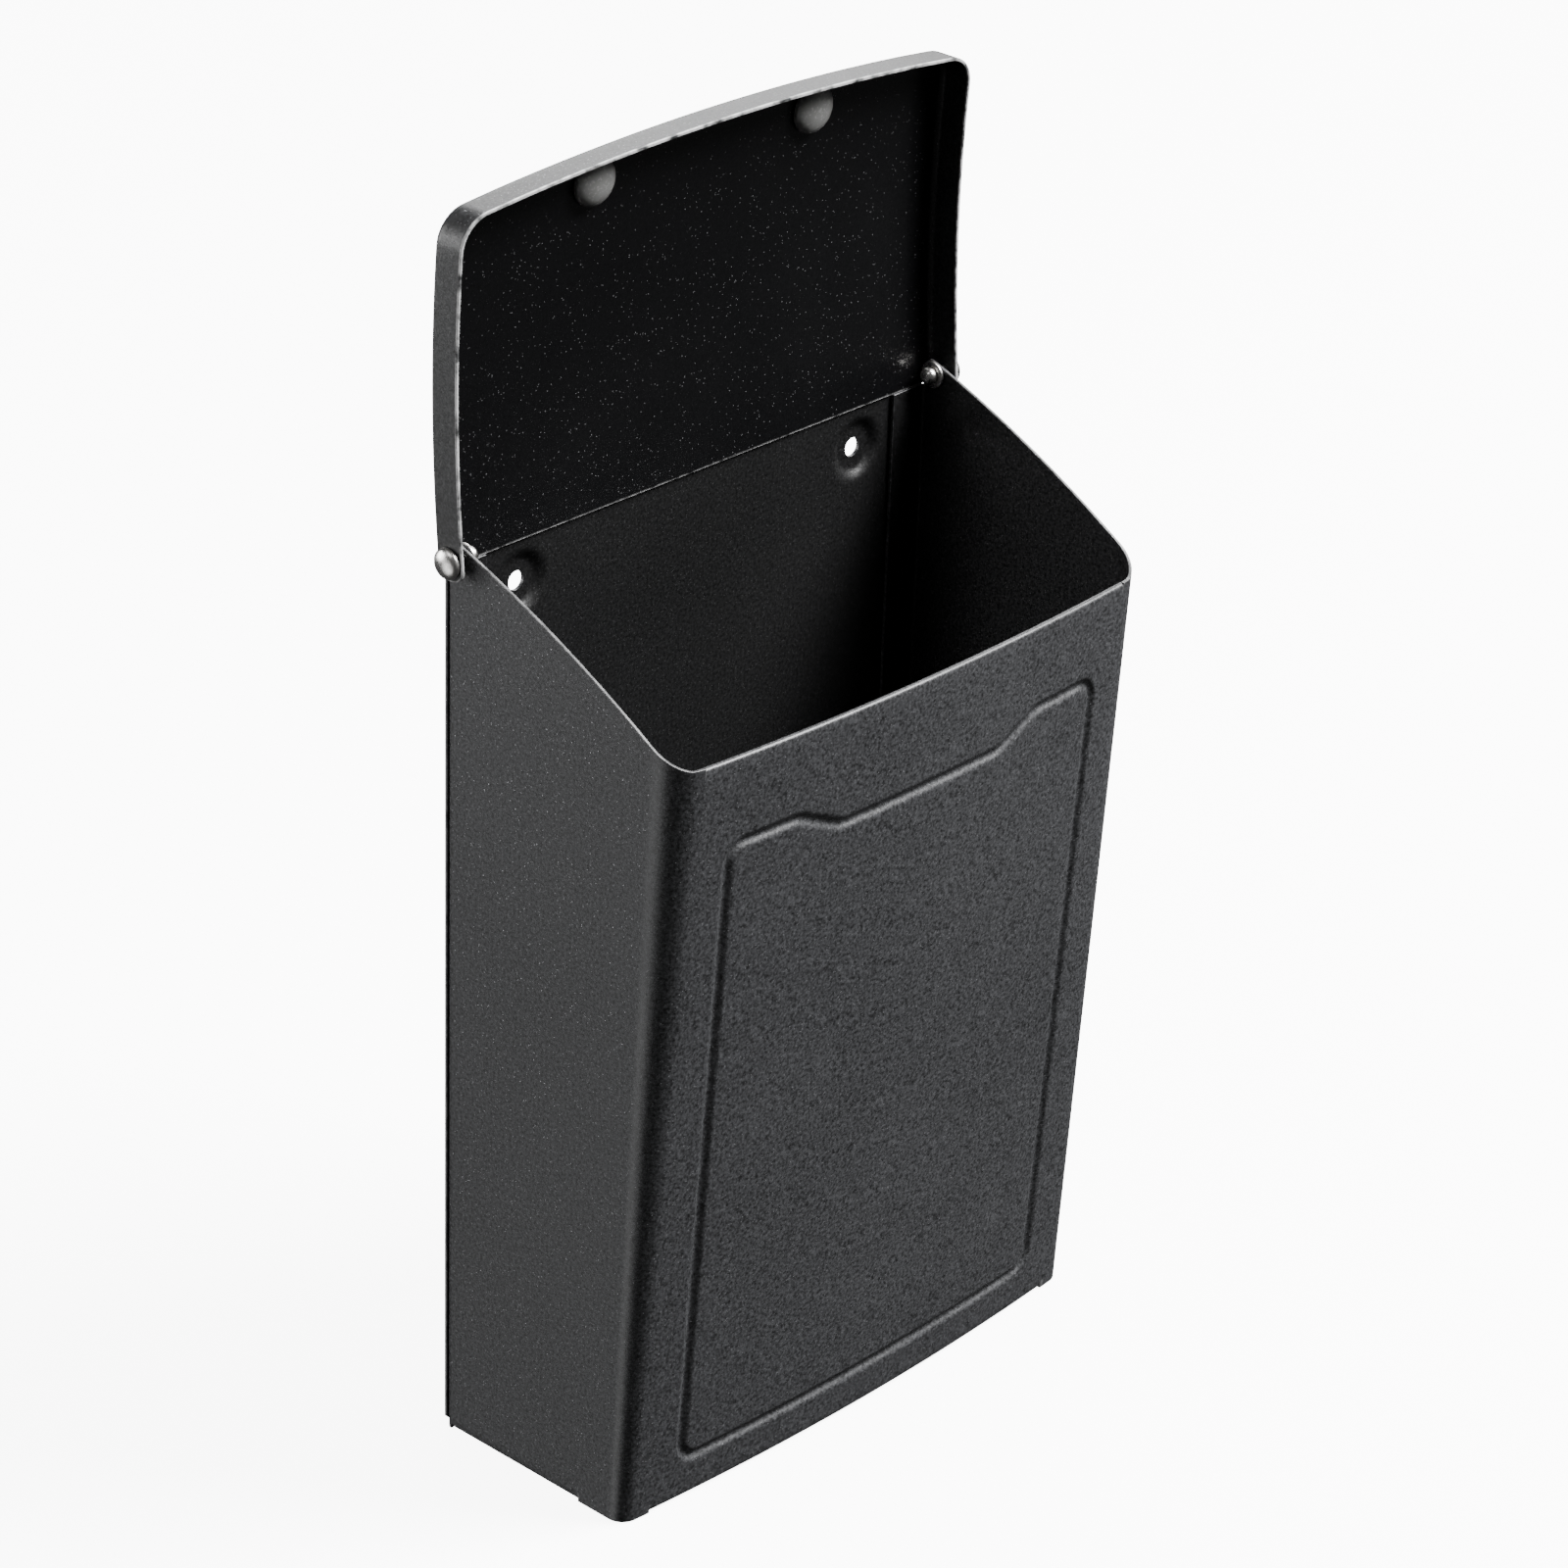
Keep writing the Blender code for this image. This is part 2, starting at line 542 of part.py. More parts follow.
def make_rivet(label, side, parent):
    """Hinge rivet: domed head outside the lid's ear, shank, and peened inner end."""
    head = LID_HALF_WIDTH + PART_GAP
    profile = [(head, SHANK_RADIUS), (head, HEAD_RADIUS)]
    for step in range(1, RIVET_DOME_STEPS + 1):
        angle = math.pi / 2 * step / RIVET_DOME_STEPS
        profile.append((head + HEAD_HEIGHT * math.sin(angle), HEAD_RADIUS * math.cos(angle)))
    peen = INNER_WALL_X - WASHER_THICKNESS - 2 * PART_GAP
    inner = [(peen, SHANK_RADIUS), (peen, PEEN_RADIUS)]
    for step in range(1, RIVET_DOME_STEPS + 1):
        angle = math.pi / 2 * step / RIVET_DOME_STEPS
        inner.append((peen - PEEN_LENGTH * math.sin(angle), PEEN_RADIUS * math.cos(angle)))
    mesh = turned(f"hinge_rivet_{label}", inner[::-1] + profile)
    rivet = add_object(f"hinge_rivet_{label}", mesh, parent, STEEL)
    rivet.location = (0, PIVOT_Y, PIVOT_HEIGHT)
    rivet.rotation_euler.z = 0 if side > 0 else math.pi
    return rivet


def make_washer(label, side, parent):
    """Steel washer between the box's wall and the rivet's peened end."""
    outer = INNER_WALL_X - PART_GAP
    inner = outer - WASHER_THICKNESS
    ring = [(inner, HOLE_RADIUS), (inner, WASHER_RADIUS), (outer, WASHER_RADIUS), (outer, HOLE_RADIUS)]
    mesh = turned(f"hinge_washer_{label}", ring + ring[:1])
    washer = add_object(f"hinge_washer_{label}", mesh, parent, STEEL)
    washer.location = (0, PIVOT_Y, PIVOT_HEIGHT)
    washer.rotation_euler.z = 0 if side > 0 else math.pi
    return washer


def make_bumper(label, side, parent):
    """Soft dome that stops the lid on the hem of the front."""
    profile = [(0.0, 0.0), (0.0, BUMPER_RADIUS)]
    for step in range(1, BUMPER_DOME_STEPS + 1):
        angle = math.pi / 2 * step / BUMPER_DOME_STEPS
        profile.append((BUMPER_HEIGHT * math.sin(angle), BUMPER_RADIUS * math.cos(angle)))
    mesh = turned(f"lid_bumper_{label}", profile)
    bumper = add_object(f"lid_bumper_{label}", mesh, parent, BUMPER_GREY)
    lean = math.asin((BUMPER_REACH - LID_ARC_MIDDLE) / LID_ARC_RADIUS)
    towards_front = Matrix.Rotation(-math.pi / 2, 4, "Z")
    base_y = lid_surface(BUMPER_REACH, SHEET + PART_GAP)
    place = Matrix.Translation((side * BUMPER_HALF_SPACING, base_y, BUMPER_REACH))
    bumper.matrix_local = place @ Matrix.Rotation(lean, 4, "X") @ towards_front
    return bumper


def main():
    """Build the mailbox with its lid open."""
    clear_scene()
    box = bpy.data.objects.new("box_bottom_edge", None)
    box.location = (0, 0, BOTTOM_Z)
    hinge = bpy.data.objects.new("lid_hinge_axis", None)
    hinge.location = (0, PIVOT_Y, BOTTOM_Z + PIVOT_HEIGHT)
    for empty in (box, hinge):
        bpy.context.scene.collection.objects.link(empty)
    make_front_shell(box)
    make_back_panel(box)
    make_bottom_pan(box)
    make_lid(hinge)
    for label, side in (("left", -1), ("right", 1)):
        make_rivet(label, side, box)
        make_washer(label, side, box)
        make_bumper(label, side, hinge)


main()
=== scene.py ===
"""Looks of a wall mounted mailbox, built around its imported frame.

Sizes are in millimetres, from the box's bottom edge or from the hinge axis as each class says.
Pieces are in metres in the row frame: +X right, front towards -Y, +Z up.
"""

import logging
import math
from dataclasses import dataclass, field
from enum import Enum
from typing import Any, Union

import bpy
import numpy as np
from mathutils import Matrix, Vector


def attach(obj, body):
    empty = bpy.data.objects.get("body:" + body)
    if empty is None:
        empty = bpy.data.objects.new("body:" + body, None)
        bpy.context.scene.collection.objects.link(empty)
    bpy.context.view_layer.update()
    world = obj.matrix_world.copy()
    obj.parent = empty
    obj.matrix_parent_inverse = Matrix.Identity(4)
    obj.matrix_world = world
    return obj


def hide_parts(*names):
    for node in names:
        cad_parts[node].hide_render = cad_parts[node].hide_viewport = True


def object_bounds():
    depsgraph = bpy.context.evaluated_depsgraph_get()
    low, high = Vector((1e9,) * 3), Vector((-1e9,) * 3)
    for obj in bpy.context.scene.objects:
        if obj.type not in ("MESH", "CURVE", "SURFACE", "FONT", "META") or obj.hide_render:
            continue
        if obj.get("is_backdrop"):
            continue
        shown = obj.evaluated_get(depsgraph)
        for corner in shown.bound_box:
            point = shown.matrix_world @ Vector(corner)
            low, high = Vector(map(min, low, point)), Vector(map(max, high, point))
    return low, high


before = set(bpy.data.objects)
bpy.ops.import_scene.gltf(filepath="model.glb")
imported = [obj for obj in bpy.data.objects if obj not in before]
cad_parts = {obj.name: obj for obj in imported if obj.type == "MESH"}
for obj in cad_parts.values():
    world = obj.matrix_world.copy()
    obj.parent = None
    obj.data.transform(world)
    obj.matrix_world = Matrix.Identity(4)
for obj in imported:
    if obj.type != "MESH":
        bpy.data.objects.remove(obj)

LOG = logging.getLogger("mailbox")
MM = 0.001
ORIGIN_HEIGHT = 128.0
HINGE_Y = -7.2
HINGE_HEIGHT = 247.0
SHEET = 0.9
BOX_ORIGIN = (0.0, 0.0, -ORIGIN_HEIGHT)
HINGE_ORIGIN = (0.0, HINGE_Y, HINGE_HEIGHT - ORIGIN_HEIGHT)
PART_GAP = 0.3
HINGE_HOLE_RADIUS = 1.75
CUT_DEPTH = 5.0
RAW_EDGE = 0.6
SIDES = (-1, 1)
QUARTER_TURN = np.radians([22.5, 45.0, 67.5, 90.0])
Number = Union["Link", float]
Triple = tuple[float, float, float]
Runs = tuple[tuple[float, float, int], ...]
Arrays = tuple[np.ndarray, ...]
Material = bpy.types.Material
Object = bpy.types.Object


class Layer(Enum):
    """Faces of a sheet that can have finishes of their own."""

    OUTER = 0
    INNER = 1


class Body(Enum):
    """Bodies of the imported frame."""

    BOX = "box"
    LID = "lid"


# ---------------------------------------------------------------------------------------
# Shader arithmetic


class Link:
    """A shader socket; Python arithmetic on it adds Math nodes."""

    def __init__(self, graph: "Graph", socket: bpy.types.NodeSocket) -> None:
        """Keep the graph and the socket."""
        self.graph = graph
        self.socket = socket

    def math(self, operation: str, *terms: Number) -> "Link":
        """Add one Math node.

        Args:
            operation: Name of the Math node's operation.
            terms: Its inputs in order.

        Returns:
            The node's output.
        """
        return self.graph.node("ShaderNodeMath", {"operation": operation}, dict(enumerate(terms)))

    def __add__(self, other: Number) -> "Link":
        """Sum."""
        return self.math("ADD", self, other)

    def __sub__(self, other: Number) -> "Link":
        """Difference."""
        return self.math("SUBTRACT", self, other)

    def __rsub__(self, other: Number) -> "Link":
        """Difference from a number."""
        return self.math("SUBTRACT", other, self)

    def __mul__(self, other: Number) -> "Link":
        """Product."""
        return self.math("MULTIPLY", self, other)

    def beside(self, output: str) -> "Link":
        """Another output of the same node."""
        return Link(self.graph, self.socket.node.outputs[output])

    __radd__ = __add__
    __rmul__ = __mul__

    def step(self, low: float, high: float) -> "Link":
        """Smooth step that is 0 below `low` and 1 above `high`."""
        ends = {"Value": self, "From Min": low, "From Max": high}
        return self.graph.node("ShaderNodeMapRange", {"interpolation_type": "SMOOTHSTEP"}, ends)


class Graph:
    """The nodes of one material or of the world."""

    def __init__(self, owner: Union[Material, bpy.types.World]) -> None:
        """Switch the owner's nodes on."""
        self.owner = owner
        self.owner.use_nodes = True
        self.tree = self.owner.node_tree

    def node(self, kind: str, settings: dict[str, Any], sockets: dict[Any, Any],
             output: Union[int, str] = 0) -> Link:
        """Add any node.

        Args:
            kind: Blender's name of the node type.
            settings: Properties to set first.
            sockets: Values or links of its inputs, by name or number.
            output: Name or number of the output that is wanted.

        Returns:
            That output.
        """
        made = self.tree.nodes.new(kind)
        for key, value in settings.items():
            setattr(made, key, value)
        for key, value in sockets.items():
            self.feed(made.inputs[key], value)
        return Link(self, made.outputs[output])

    def feed(self, target: bpy.types.NodeSocket, value: Any) -> None:
        """Link a socket, or set its own value."""
        if isinstance(value, Link):
            self.tree.links.new(value.socket, target)
        elif isinstance(value, tuple) and len(value) == 3 and target.type == "RGBA":
            target.default_value = (*value, 1.0)
        else:
            target.default_value = value

    def where(self) -> Link:
        """Object coordinates, which stay with the piece."""
        return self.node("ShaderNodeTexCoord", {}, {}, "Object")

    def noise(self, place: Link, scale: float, detail: float = 2.0) -> Link:
        """Noise from 0 to 1 with `scale` cells a metre."""
        sockets = {"Vector": place, "Scale": scale, "Detail": detail, "Roughness": 0.55}
        return self.node("ShaderNodeTexNoise", {}, sockets)

    def blend(self, share: Number, first: Any, second: Any) -> Link:
        """Mix two colours by a share from 0 to 1."""
        return self.node("ShaderNodeMix", {"data_type": "RGBA"}, {0: share, 6: first, 7: second}, 2)

    def vector(self, operation: str, *terms: Any) -> Link:
        """Add one Vector Math node with its inputs in order."""
        return self.node("ShaderNodeVectorMath", {"operation": operation}, dict(enumerate(terms)))

    def scaled(self, vector: Any, factor: Number) -> Link:
        """A vector or colour times a number."""
        return self.node("ShaderNodeVectorMath", {"operation": "SCALE"}, {0: vector, 3: factor})

    def attribute(self, name: str) -> Link:
        """A number kept on the mesh's points."""
        return self.node("ShaderNodeAttribute", {"attribute_name": name}, {}, "Fac")

    def surface(self, **sockets: Any) -> Material:
        """Feed the Principled shader.

        Args:
            sockets: Its inputs, with underscores for spaces.

        Returns:
            The finished material.
        """
        for key, value in sockets.items():
            self.feed(self.tree.nodes["Principled BSDF"].inputs[key.replace("_", " ")], value)
        return self.owner


# ---------------------------------------------------------------------------------------
# Finishes


@dataclass(frozen=True)
class PowderCoat:
    """Textured powder coat with pinpoint flecks, brighter along raw edges: a thinner coat there and a
    painted highlight.
    """

    name: str
    tone: Triple = (0.031, 0.0315, 0.0335)
    edge_tone: Triple = (0.22, 0.22, 0.22)
    fleck_tone: Triple = (0.19, 0.19, 0.20)
    roughness: float = 0.46
    fleck_share: float = 0.08
    fleck_tilt: float = 0.5
    grain: float = 4.2
    pebble: float = 0.22
    coat: float = 0.2
    coat_roughness: float = 0.35
    # Strength of the raw-edge lightening: partly a worn thin coat, partly a painted highlight.
    edge_wear_and_highlight: float = 0.4
    # Painted shade inside the box: the depth from the wall over which it fades out, and its darkest share
    # of the colour.
    painted_shade_depth: float = 0.0
    painted_shade_tone: float = 0.1
    cloud_scale: float = 16.0
    rub_and_highlight_scale: float = 260.0
    sand_scale: float = 1200.0
    pebble_scale: float = 2200.0
    cell_scale: float = 2400.0
    bump_height: float = 0.00012

    def build(self) -> Material:
        """Make the material.

        Returns:
            Broad cloudiness and sandy grain on the base, flecks, worn edges with a painted highlight,
            pebbled bump.
            With a painted shade depth, painted shade darkens the coat smoothly towards the wall.
        """
        graph = Graph(bpy.data.materials.new(self.name))
        where = graph.where()
        cloud = graph.noise(where, self.cloud_scale, 3.0)
        sand = graph.noise(where, self.sand_scale, 3.0)
        pebbles = graph.noise(where, self.pebble_scale)
        cell = graph.node("ShaderNodeTexVoronoi", {"feature": "F1"},
                          {"Vector": where, "Scale": self.cell_scale, "Randomness": 1.0}, "Color")
        chance = graph.node("ShaderNodeSeparateColor", {}, {0: cell}, 0)
        dot = 1.0 - cell.beside("Distance").step(0.20, 0.45)
        fleck = chance.step(1.0 - self.fleck_share, 1.02 - self.fleck_share) * dot
        # Raw edges lighten towards the edge tone in patches: partly a worn thin coat, partly a painted
        # highlight where the edges catch light.
        rub_and_highlight_patches = graph.noise(where, self.rub_and_highlight_scale, 3.0)
        edge = graph.attribute("edge").step(0.35, 0.95) * rub_and_highlight_patches.step(0.30, 0.62) * self.edge_wear_and_highlight
        light = 0.85 + 0.3 * cloud + self.grain * (sand - 0.5)
        light = light.math("MAXIMUM", light, 0.2)
        # Painted shade: colour and flecks darken towards the wall, where the inside of the box lies in
        # shade.
        if self.painted_shade_depth:
            from_wall = 0.0 - graph.node("ShaderNodeSeparateXYZ", {}, {0: where}, "Y")
            open_share = from_wall.step(0.1 * self.painted_shade_depth, self.painted_shade_depth)
            shade = self.painted_shade_tone + (1.0 - self.painted_shade_tone) * open_share
            light, fleck = light * shade, fleck * shade
        base = graph.blend(edge, graph.scaled(self.tone, light), self.edge_tone)
        colour = graph.blend(fleck * 0.8, base, self.fleck_tone)
        tilt = graph.scaled(graph.vector("SUBTRACT", cell, (0.5, 0.5, 0.5)),
                            0.10 + self.fleck_tilt * fleck)
        facing = graph.node("ShaderNodeNewGeometry", {}, {}, "Normal")
        tilted = graph.vector("NORMALIZE", graph.vector("ADD", facing, tilt))
        normal = graph.node("ShaderNodeBump", {}, {
            "Strength": self.pebble, "Distance": self.bump_height, "Height": pebbles + 0.4 * sand,
            "Normal": tilted})
        rough = self.roughness + 0.16 * (cloud - 0.5) + 0.10 * (sand - 0.5) - 0.10 * edge
        return graph.surface(
            Base_Color=colour, Roughness=rough, Metallic=0.08 + 0.6 * fleck, Normal=normal,
            Coat_Weight=self.coat, Coat_Roughness=self.coat_roughness)


@dataclass(frozen=True)
class ZincSteel:
    """Bright plated steel of the rivets and washers, with turning marks and dull patches."""

    name: str
    tone: Triple = (0.66, 0.65, 0.63)
    dull_tone: Triple = (0.36, 0.34, 0.32)
    stain_scale: float = 420.0
    scratch_scale: float = 1400.0
    scratch_stretch: Triple = (6.0, 1.0, 1.0)
    bump_height: float = 0.0001

    def build(self) -> Material:
        """Make the material, with fine scratches round the hinge axis and soft stains."""
        graph = Graph(bpy.data.materials.new(self.name))
        where = graph.where()
        stain = graph.noise(where, self.stain_scale, 3.0).step(0.42, 0.72)
        scratch = graph.noise(graph.vector("MULTIPLY", where, self.scratch_stretch), self.scratch_scale)
        normal = graph.node("ShaderNodeBump", {}, {
            "Strength": 0.25, "Distance": self.bump_height, "Height": scratch + 0.5 * stain})
        return graph.surface(
            Base_Color=graph.blend(stain * 0.45, self.tone, self.dull_tone), Metallic=1.0,
            Roughness=0.22 + 0.18 * stain + 0.08 * scratch, Normal=normal)


@dataclass(frozen=True)
class CloudyRubber:
    """Cloudy grey plastic of the bumpers, with dust and fine scuffs."""

    name: str
    tone: Triple = (0.13, 0.13, 0.127)
    dust_tone: Triple = (0.32, 0.32, 0.31)
    dust_scale: float = 1500.0
    cloud_scale: float = 300.0
    bump_height: float = 0.0001

    def build(self) -> Material:
        """Make the material: a slightly clear body, pale dust specks and a soft bump."""
        graph = Graph(bpy.data.materials.new(self.name))
        where = graph.where()
        dust = graph.noise(where, self.dust_scale, 3.0).step(0.52, 0.75)
        cloud = graph.noise(where, self.cloud_scale)
        normal = graph.node("ShaderNodeBump", {}, {
            "Strength": 0.2, "Distance": self.bump_height, "Height": dust + cloud})
        return graph.surface(
            Base_Color=graph.blend(dust * 0.6 + 0.3 * cloud, self.tone, self.dust_tone),
            Roughness=0.28 + 0.3 * dust, Normal=normal, Coat_Weight=0.4, Coat_Roughness=0.12,
            Transmission_Weight=0.15, IOR=1.48)


@dataclass(frozen=True)
class StudioFloor:
    """Plain pale floor."""

    name: str = "studio_floor"
    tone: Triple = (0.80, 0.80, 0.80)
    glow: float = 8.0
    cloud_scale: float = 2.0

    def build(self) -> Material:
        """Make the material, matt, a little uneven and lit from below."""
        graph = Graph(bpy.data.materials.new(self.name))
        cloud = graph.noise(graph.where(), self.cloud_scale)
        return graph.surface(Base_Color=graph.scaled(self.tone, 0.99 + 0.02 * cloud), Roughness=0.9,
                             Emission_Color=(1.0, 1.0, 1.0), Emission_Strength=self.glow)


# ---------------------------------------------------------------------------------------
# Surfaces


@dataclass
class Surface:
    """Points in millimetres, and faces as four point numbers (a triangle repeats one)."""

    points: np.ndarray
    faces: np.ndarray

    @classmethod
    def grid(cls, points: np.ndarray, keep: Union[np.ndarray, None] = None,
             wrap: bool = False) -> "Surface":
        """Join a grid of points with quads.

        Args:
            points: Array of rows x columns x 3.
            keep: Which quads are wanted, rows - 1 x columns - 1; all if None.
            wrap: Whether the last column joins the first.

        Returns:
            The surface.
        """
        rows, columns = points.shape[:2]
        number = np.arange(rows * columns).reshape(rows, columns)
        if wrap:
            number = np.concatenate([number, number[:, :1]], axis=1)
        quads = np.stack([number[:-1, :-1], number[:-1, 1:], number[1:, 1:], number[1:, :-1]], axis=-1)
        quads = quads.reshape(-1, 4) if keep is None else quads[keep]
        return cls(points.reshape(-1, 3), quads)

    @classmethod
    def joined(cls, parts: list["Surface"]) -> "Surface":
        """Put several surfaces into one."""
        starts = np.cumsum([0] + [len(part.points) for part in parts[:-1]])
        faces = [part.faces + start for part, start in zip(parts, starts)]
        return cls(np.concatenate([part.points for part in parts]), np.concatenate(faces))

    def flipped(self) -> "Surface":
        """The same surface facing the other way."""
        return Surface(self.points, self.faces[:, ::-1])

    def welded(self, spacing: float = 0.002) -> "Surface":
        """Merge points that share a place and drop faces that this leaves without area.

        Args:
            spacing: Size of the cells in which points count as one, in millimetres.

        Returns:
            The welded surface, whose triangles repeat their last point.
        """
        cells = np.round(self.points / spacing + 0.01234).astype(np.int64)
        _, first, number = np.unique(cells, axis=0, return_index=True, return_inverse=True)
        faces = number.reshape(-1)[self.faces]
        for _ in range(4):
            same = faces[:, 0] == faces[:, 1]
            faces[same] = faces[same][:, [1, 2, 3, 3]]
            same = (faces[:, 1] == faces[:, 2]) & (faces[:, 2] != faces[:, 3])
            faces[same] = faces[same][:, [0, 2, 3, 3]]
            faces[faces[:, 3] == faces[:, 0], 3] = faces[faces[:, 3] == faces[:, 0], 2]
        follow = faces[:, [1, 2, 0]]
        solid = np.all(faces[:, :3] != follow, axis=1)
        faces = faces[solid]
        used, packed = np.unique(faces, return_inverse=True)
        return Surface(self.points[first][used], packed.reshape(faces.shape))

    def normals(self) -> np.ndarray:
        """Unit normals at the points, from the crossed diagonals of the faces round each."""
        corner = self.points[self.faces]
        face_normal = np.cross(corner[:, 2] - corner[:, 0], corner[:, 3] - corner[:, 1])
        total = np.zeros_like(self.points)
        for place in range(4):
            np.add.at(total, self.faces[:, place], face_normal)
        return unit(total)

    def rims(self) -> np.ndarray:
        """Directed edges that only one face has, as pairs of point numbers."""
        edges = np.stack([self.faces, np.roll(self.faces, -1, axis=1)], axis=-1).reshape(-1, 2)
        edges = edges[edges[:, 0] != edges[:, 1]]
        size = len(self.points)
        keys, backwards = edges[:, 0] * size + edges[:, 1], edges[:, 1] * size + edges[:, 0]
        return edges[~np.isin(keys, backwards)]


@dataclass
class Solid:
    """A closed shape: points, faces, the layer of each face, and each point's share of the raw-edge
    lightening (worn coat and painted highlight).
    """

    points: np.ndarray
    faces: np.ndarray
    layers: np.ndarray
    edge: np.ndarray


def unit(vectors: np.ndarray) -> np.ndarray:
    """Vectors divided by their lengths, or left alone where they have none."""
    length = np.linalg.norm(vectors, axis=-1, keepdims=True)
    return vectors / np.where(length > 1e-12, length, 1.0)


def rounded(vertex: np.ndarray, back: np.ndarray, ahead: np.ndarray,
            radius: np.ndarray) -> Arrays:
    """Round off corners with circles that touch both arms.

    A centre lies on the bisector, at the radius over the sine of half the corner's angle.

    Args:
        vertex: Corners, ... x 2.
        back: Unit directions from the corners along the arms before them.
        ahead: Unit directions along the arms after them.
        radius: Radii, ... x 1.

    Returns:
        Centres, radii to the touching points before and after, and the angles between those.
    """
    half = np.arccos(np.clip(np.sum(back * ahead, axis=-1, keepdims=True), -1.0, 1.0)) / 2
    centre = vertex + unit(back + ahead) * radius / np.sin(half)
    start = vertex + back * radius / np.tan(half) - centre
    end = vertex + ahead * radius / np.tan(half) - centre
    return centre, start, end, math.pi - 2 * half


def swept(start: np.ndarray, end: np.ndarray, sweep: np.ndarray, share: np.ndarray) -> np.ndarray:
    """Radii that turn evenly from `start` to `end` as the share goes from 0 to 1."""
    return (start * np.sin((1 - share) * sweep) + end * np.sin(share * sweep)) / np.sin(sweep)


def linked(name: str, data: bpy.types.ID) -> Object:
    """Make an object of its data and put it in the scene."""
    item = bpy.data.objects.new(name, data)
    bpy.context.scene.collection.objects.link(item)
    return item


def side_name(side: int) -> str:
    """Name of a side of the box."""
    return "right" if side > 0 else "left"


def spaced(*runs: tuple[float, float, int]) -> np.ndarray:
    """Numbers that run through several stretches, each with its own count of steps.

    Args:
        runs: Start, end and number of steps of each stretch, where each starts at the last end.

    Returns:
        All numbers once, in order.
    """
    parts = [np.linspace(start, end, count + 1)[1:] for start, end, count in runs]
    return np.concatenate([[runs[0][0]], *parts])


def thickened(surface: Surface, thickness: float = SHEET, softness: float = 0.2) -> Solid:
    """Give a sheet its thickness and soft raw edges.

    The inner layer is the outer one moved back along its normals.  Round every free edge a
    strip joins them: a quarter circle of radius `softness`, a flat, and a quarter circle.

    Args:
        surface: The outer face, welded.
        thickness: Sheet thickness in millimetres.
        softness: Radius of the raw edge's corners.

    Returns:
        A closed solid.
    """
    normal = surface.normals()
    count = len(surface.points)
    inner = surface.points - normal * thickness
    rims = surface.rims()
    rim_points, local = np.unique(rims, return_inverse=True)
    local = local.reshape(rims.shape)
    along = unit(surface.points[rims[:, 1]] - surface.points[rims[:, 0]])
    sideways = np.zeros_like(surface.points)
    for end in range(2):
        np.add.at(sideways, rims[:, end], np.cross(along, normal[rims[:, end]]))
    sideways = unit(sideways[rim_points])
    turn = np.radians([30.0, 60.0, 90.0])
    out = softness * np.concatenate([np.sin(turn), np.sin(turn)[::-1]])
    down = softness * (1.0 - np.cos(turn))
    down = np.concatenate([down, thickness - down[::-1]])
    middle = (surface.points[rim_points][None] + out[:, None, None] * sideways[None]
              - down[:, None, None] * normal[rim_points][None])
    levels = [rim_points] + [2 * count + step * len(rim_points) + np.arange(len(rim_points))
                             for step in range(len(out))] + [rim_points + count]
    strips = [np.stack([high[local[:, 1]], high[local[:, 0]], low[local[:, 0]], low[local[:, 1]]], axis=-1)
              for high, low in zip(levels, levels[1:])]
    points = np.concatenate([surface.points, inner, middle.reshape(-1, 3)])
    faces = np.concatenate([surface.faces, surface.faces[:, ::-1] + count, *strips])
    layers = np.full(len(faces), Layer.OUTER.value)
    layers[len(surface.faces):2 * len(surface.faces)] = Layer.INNER.value
    edge = np.zeros(len(points))
    edge[rim_points] = edge[rim_points + count] = edge[2 * count:] = 1.0
    return Solid(points, faces, layers, edge)


def closed(surface: Surface) -> Solid:
    """Take a surface that is closed already as a solid."""
    welded = surface.welded()
    layers, edge = np.zeros(len(welded.faces), int), np.zeros(len(welded.points))
    return Solid(welded.points, welded.faces, layers, edge)


def turned(profile: np.ndarray, steps: int = 64) -> Surface:
    """Turn a profile about the X axis.

    Each point (along, radius) becomes a circle: x = along, y = radius sin a, z = radius cos a.

    Args:
        profile: Points as rows of along and radius.
        steps: Points round the circle.

    Returns:
        A surface closed round the axis.
    """
    angle = np.linspace(0.0, math.tau, steps, endpoint=False)
    along = np.repeat(profile[:, :1], steps, axis=1)
    circles = [along, profile[:, 1:] * np.sin(angle), profile[:, 1:] * np.cos(angle)]
    return Surface.grid(np.stack(circles, axis=-1), wrap=True).flipped()


def arc(centre: tuple[float, float], radius: float, start: float, end: float, steps: int) -> np.ndarray:
    """Points of a circle's arc, as rows of (along, radius), for a turned profile."""
    angle = np.radians(np.linspace(start, end, steps + 1))
    return np.stack([centre[0] + radius * np.cos(angle), centre[1] + radius * np.sin(angle)], axis=-1)


@dataclass(frozen=True)
class Hole:
    """A round hole through a finished piece, in the piece's own millimetres."""

    centre: Triple
    radius: float
    axis: str


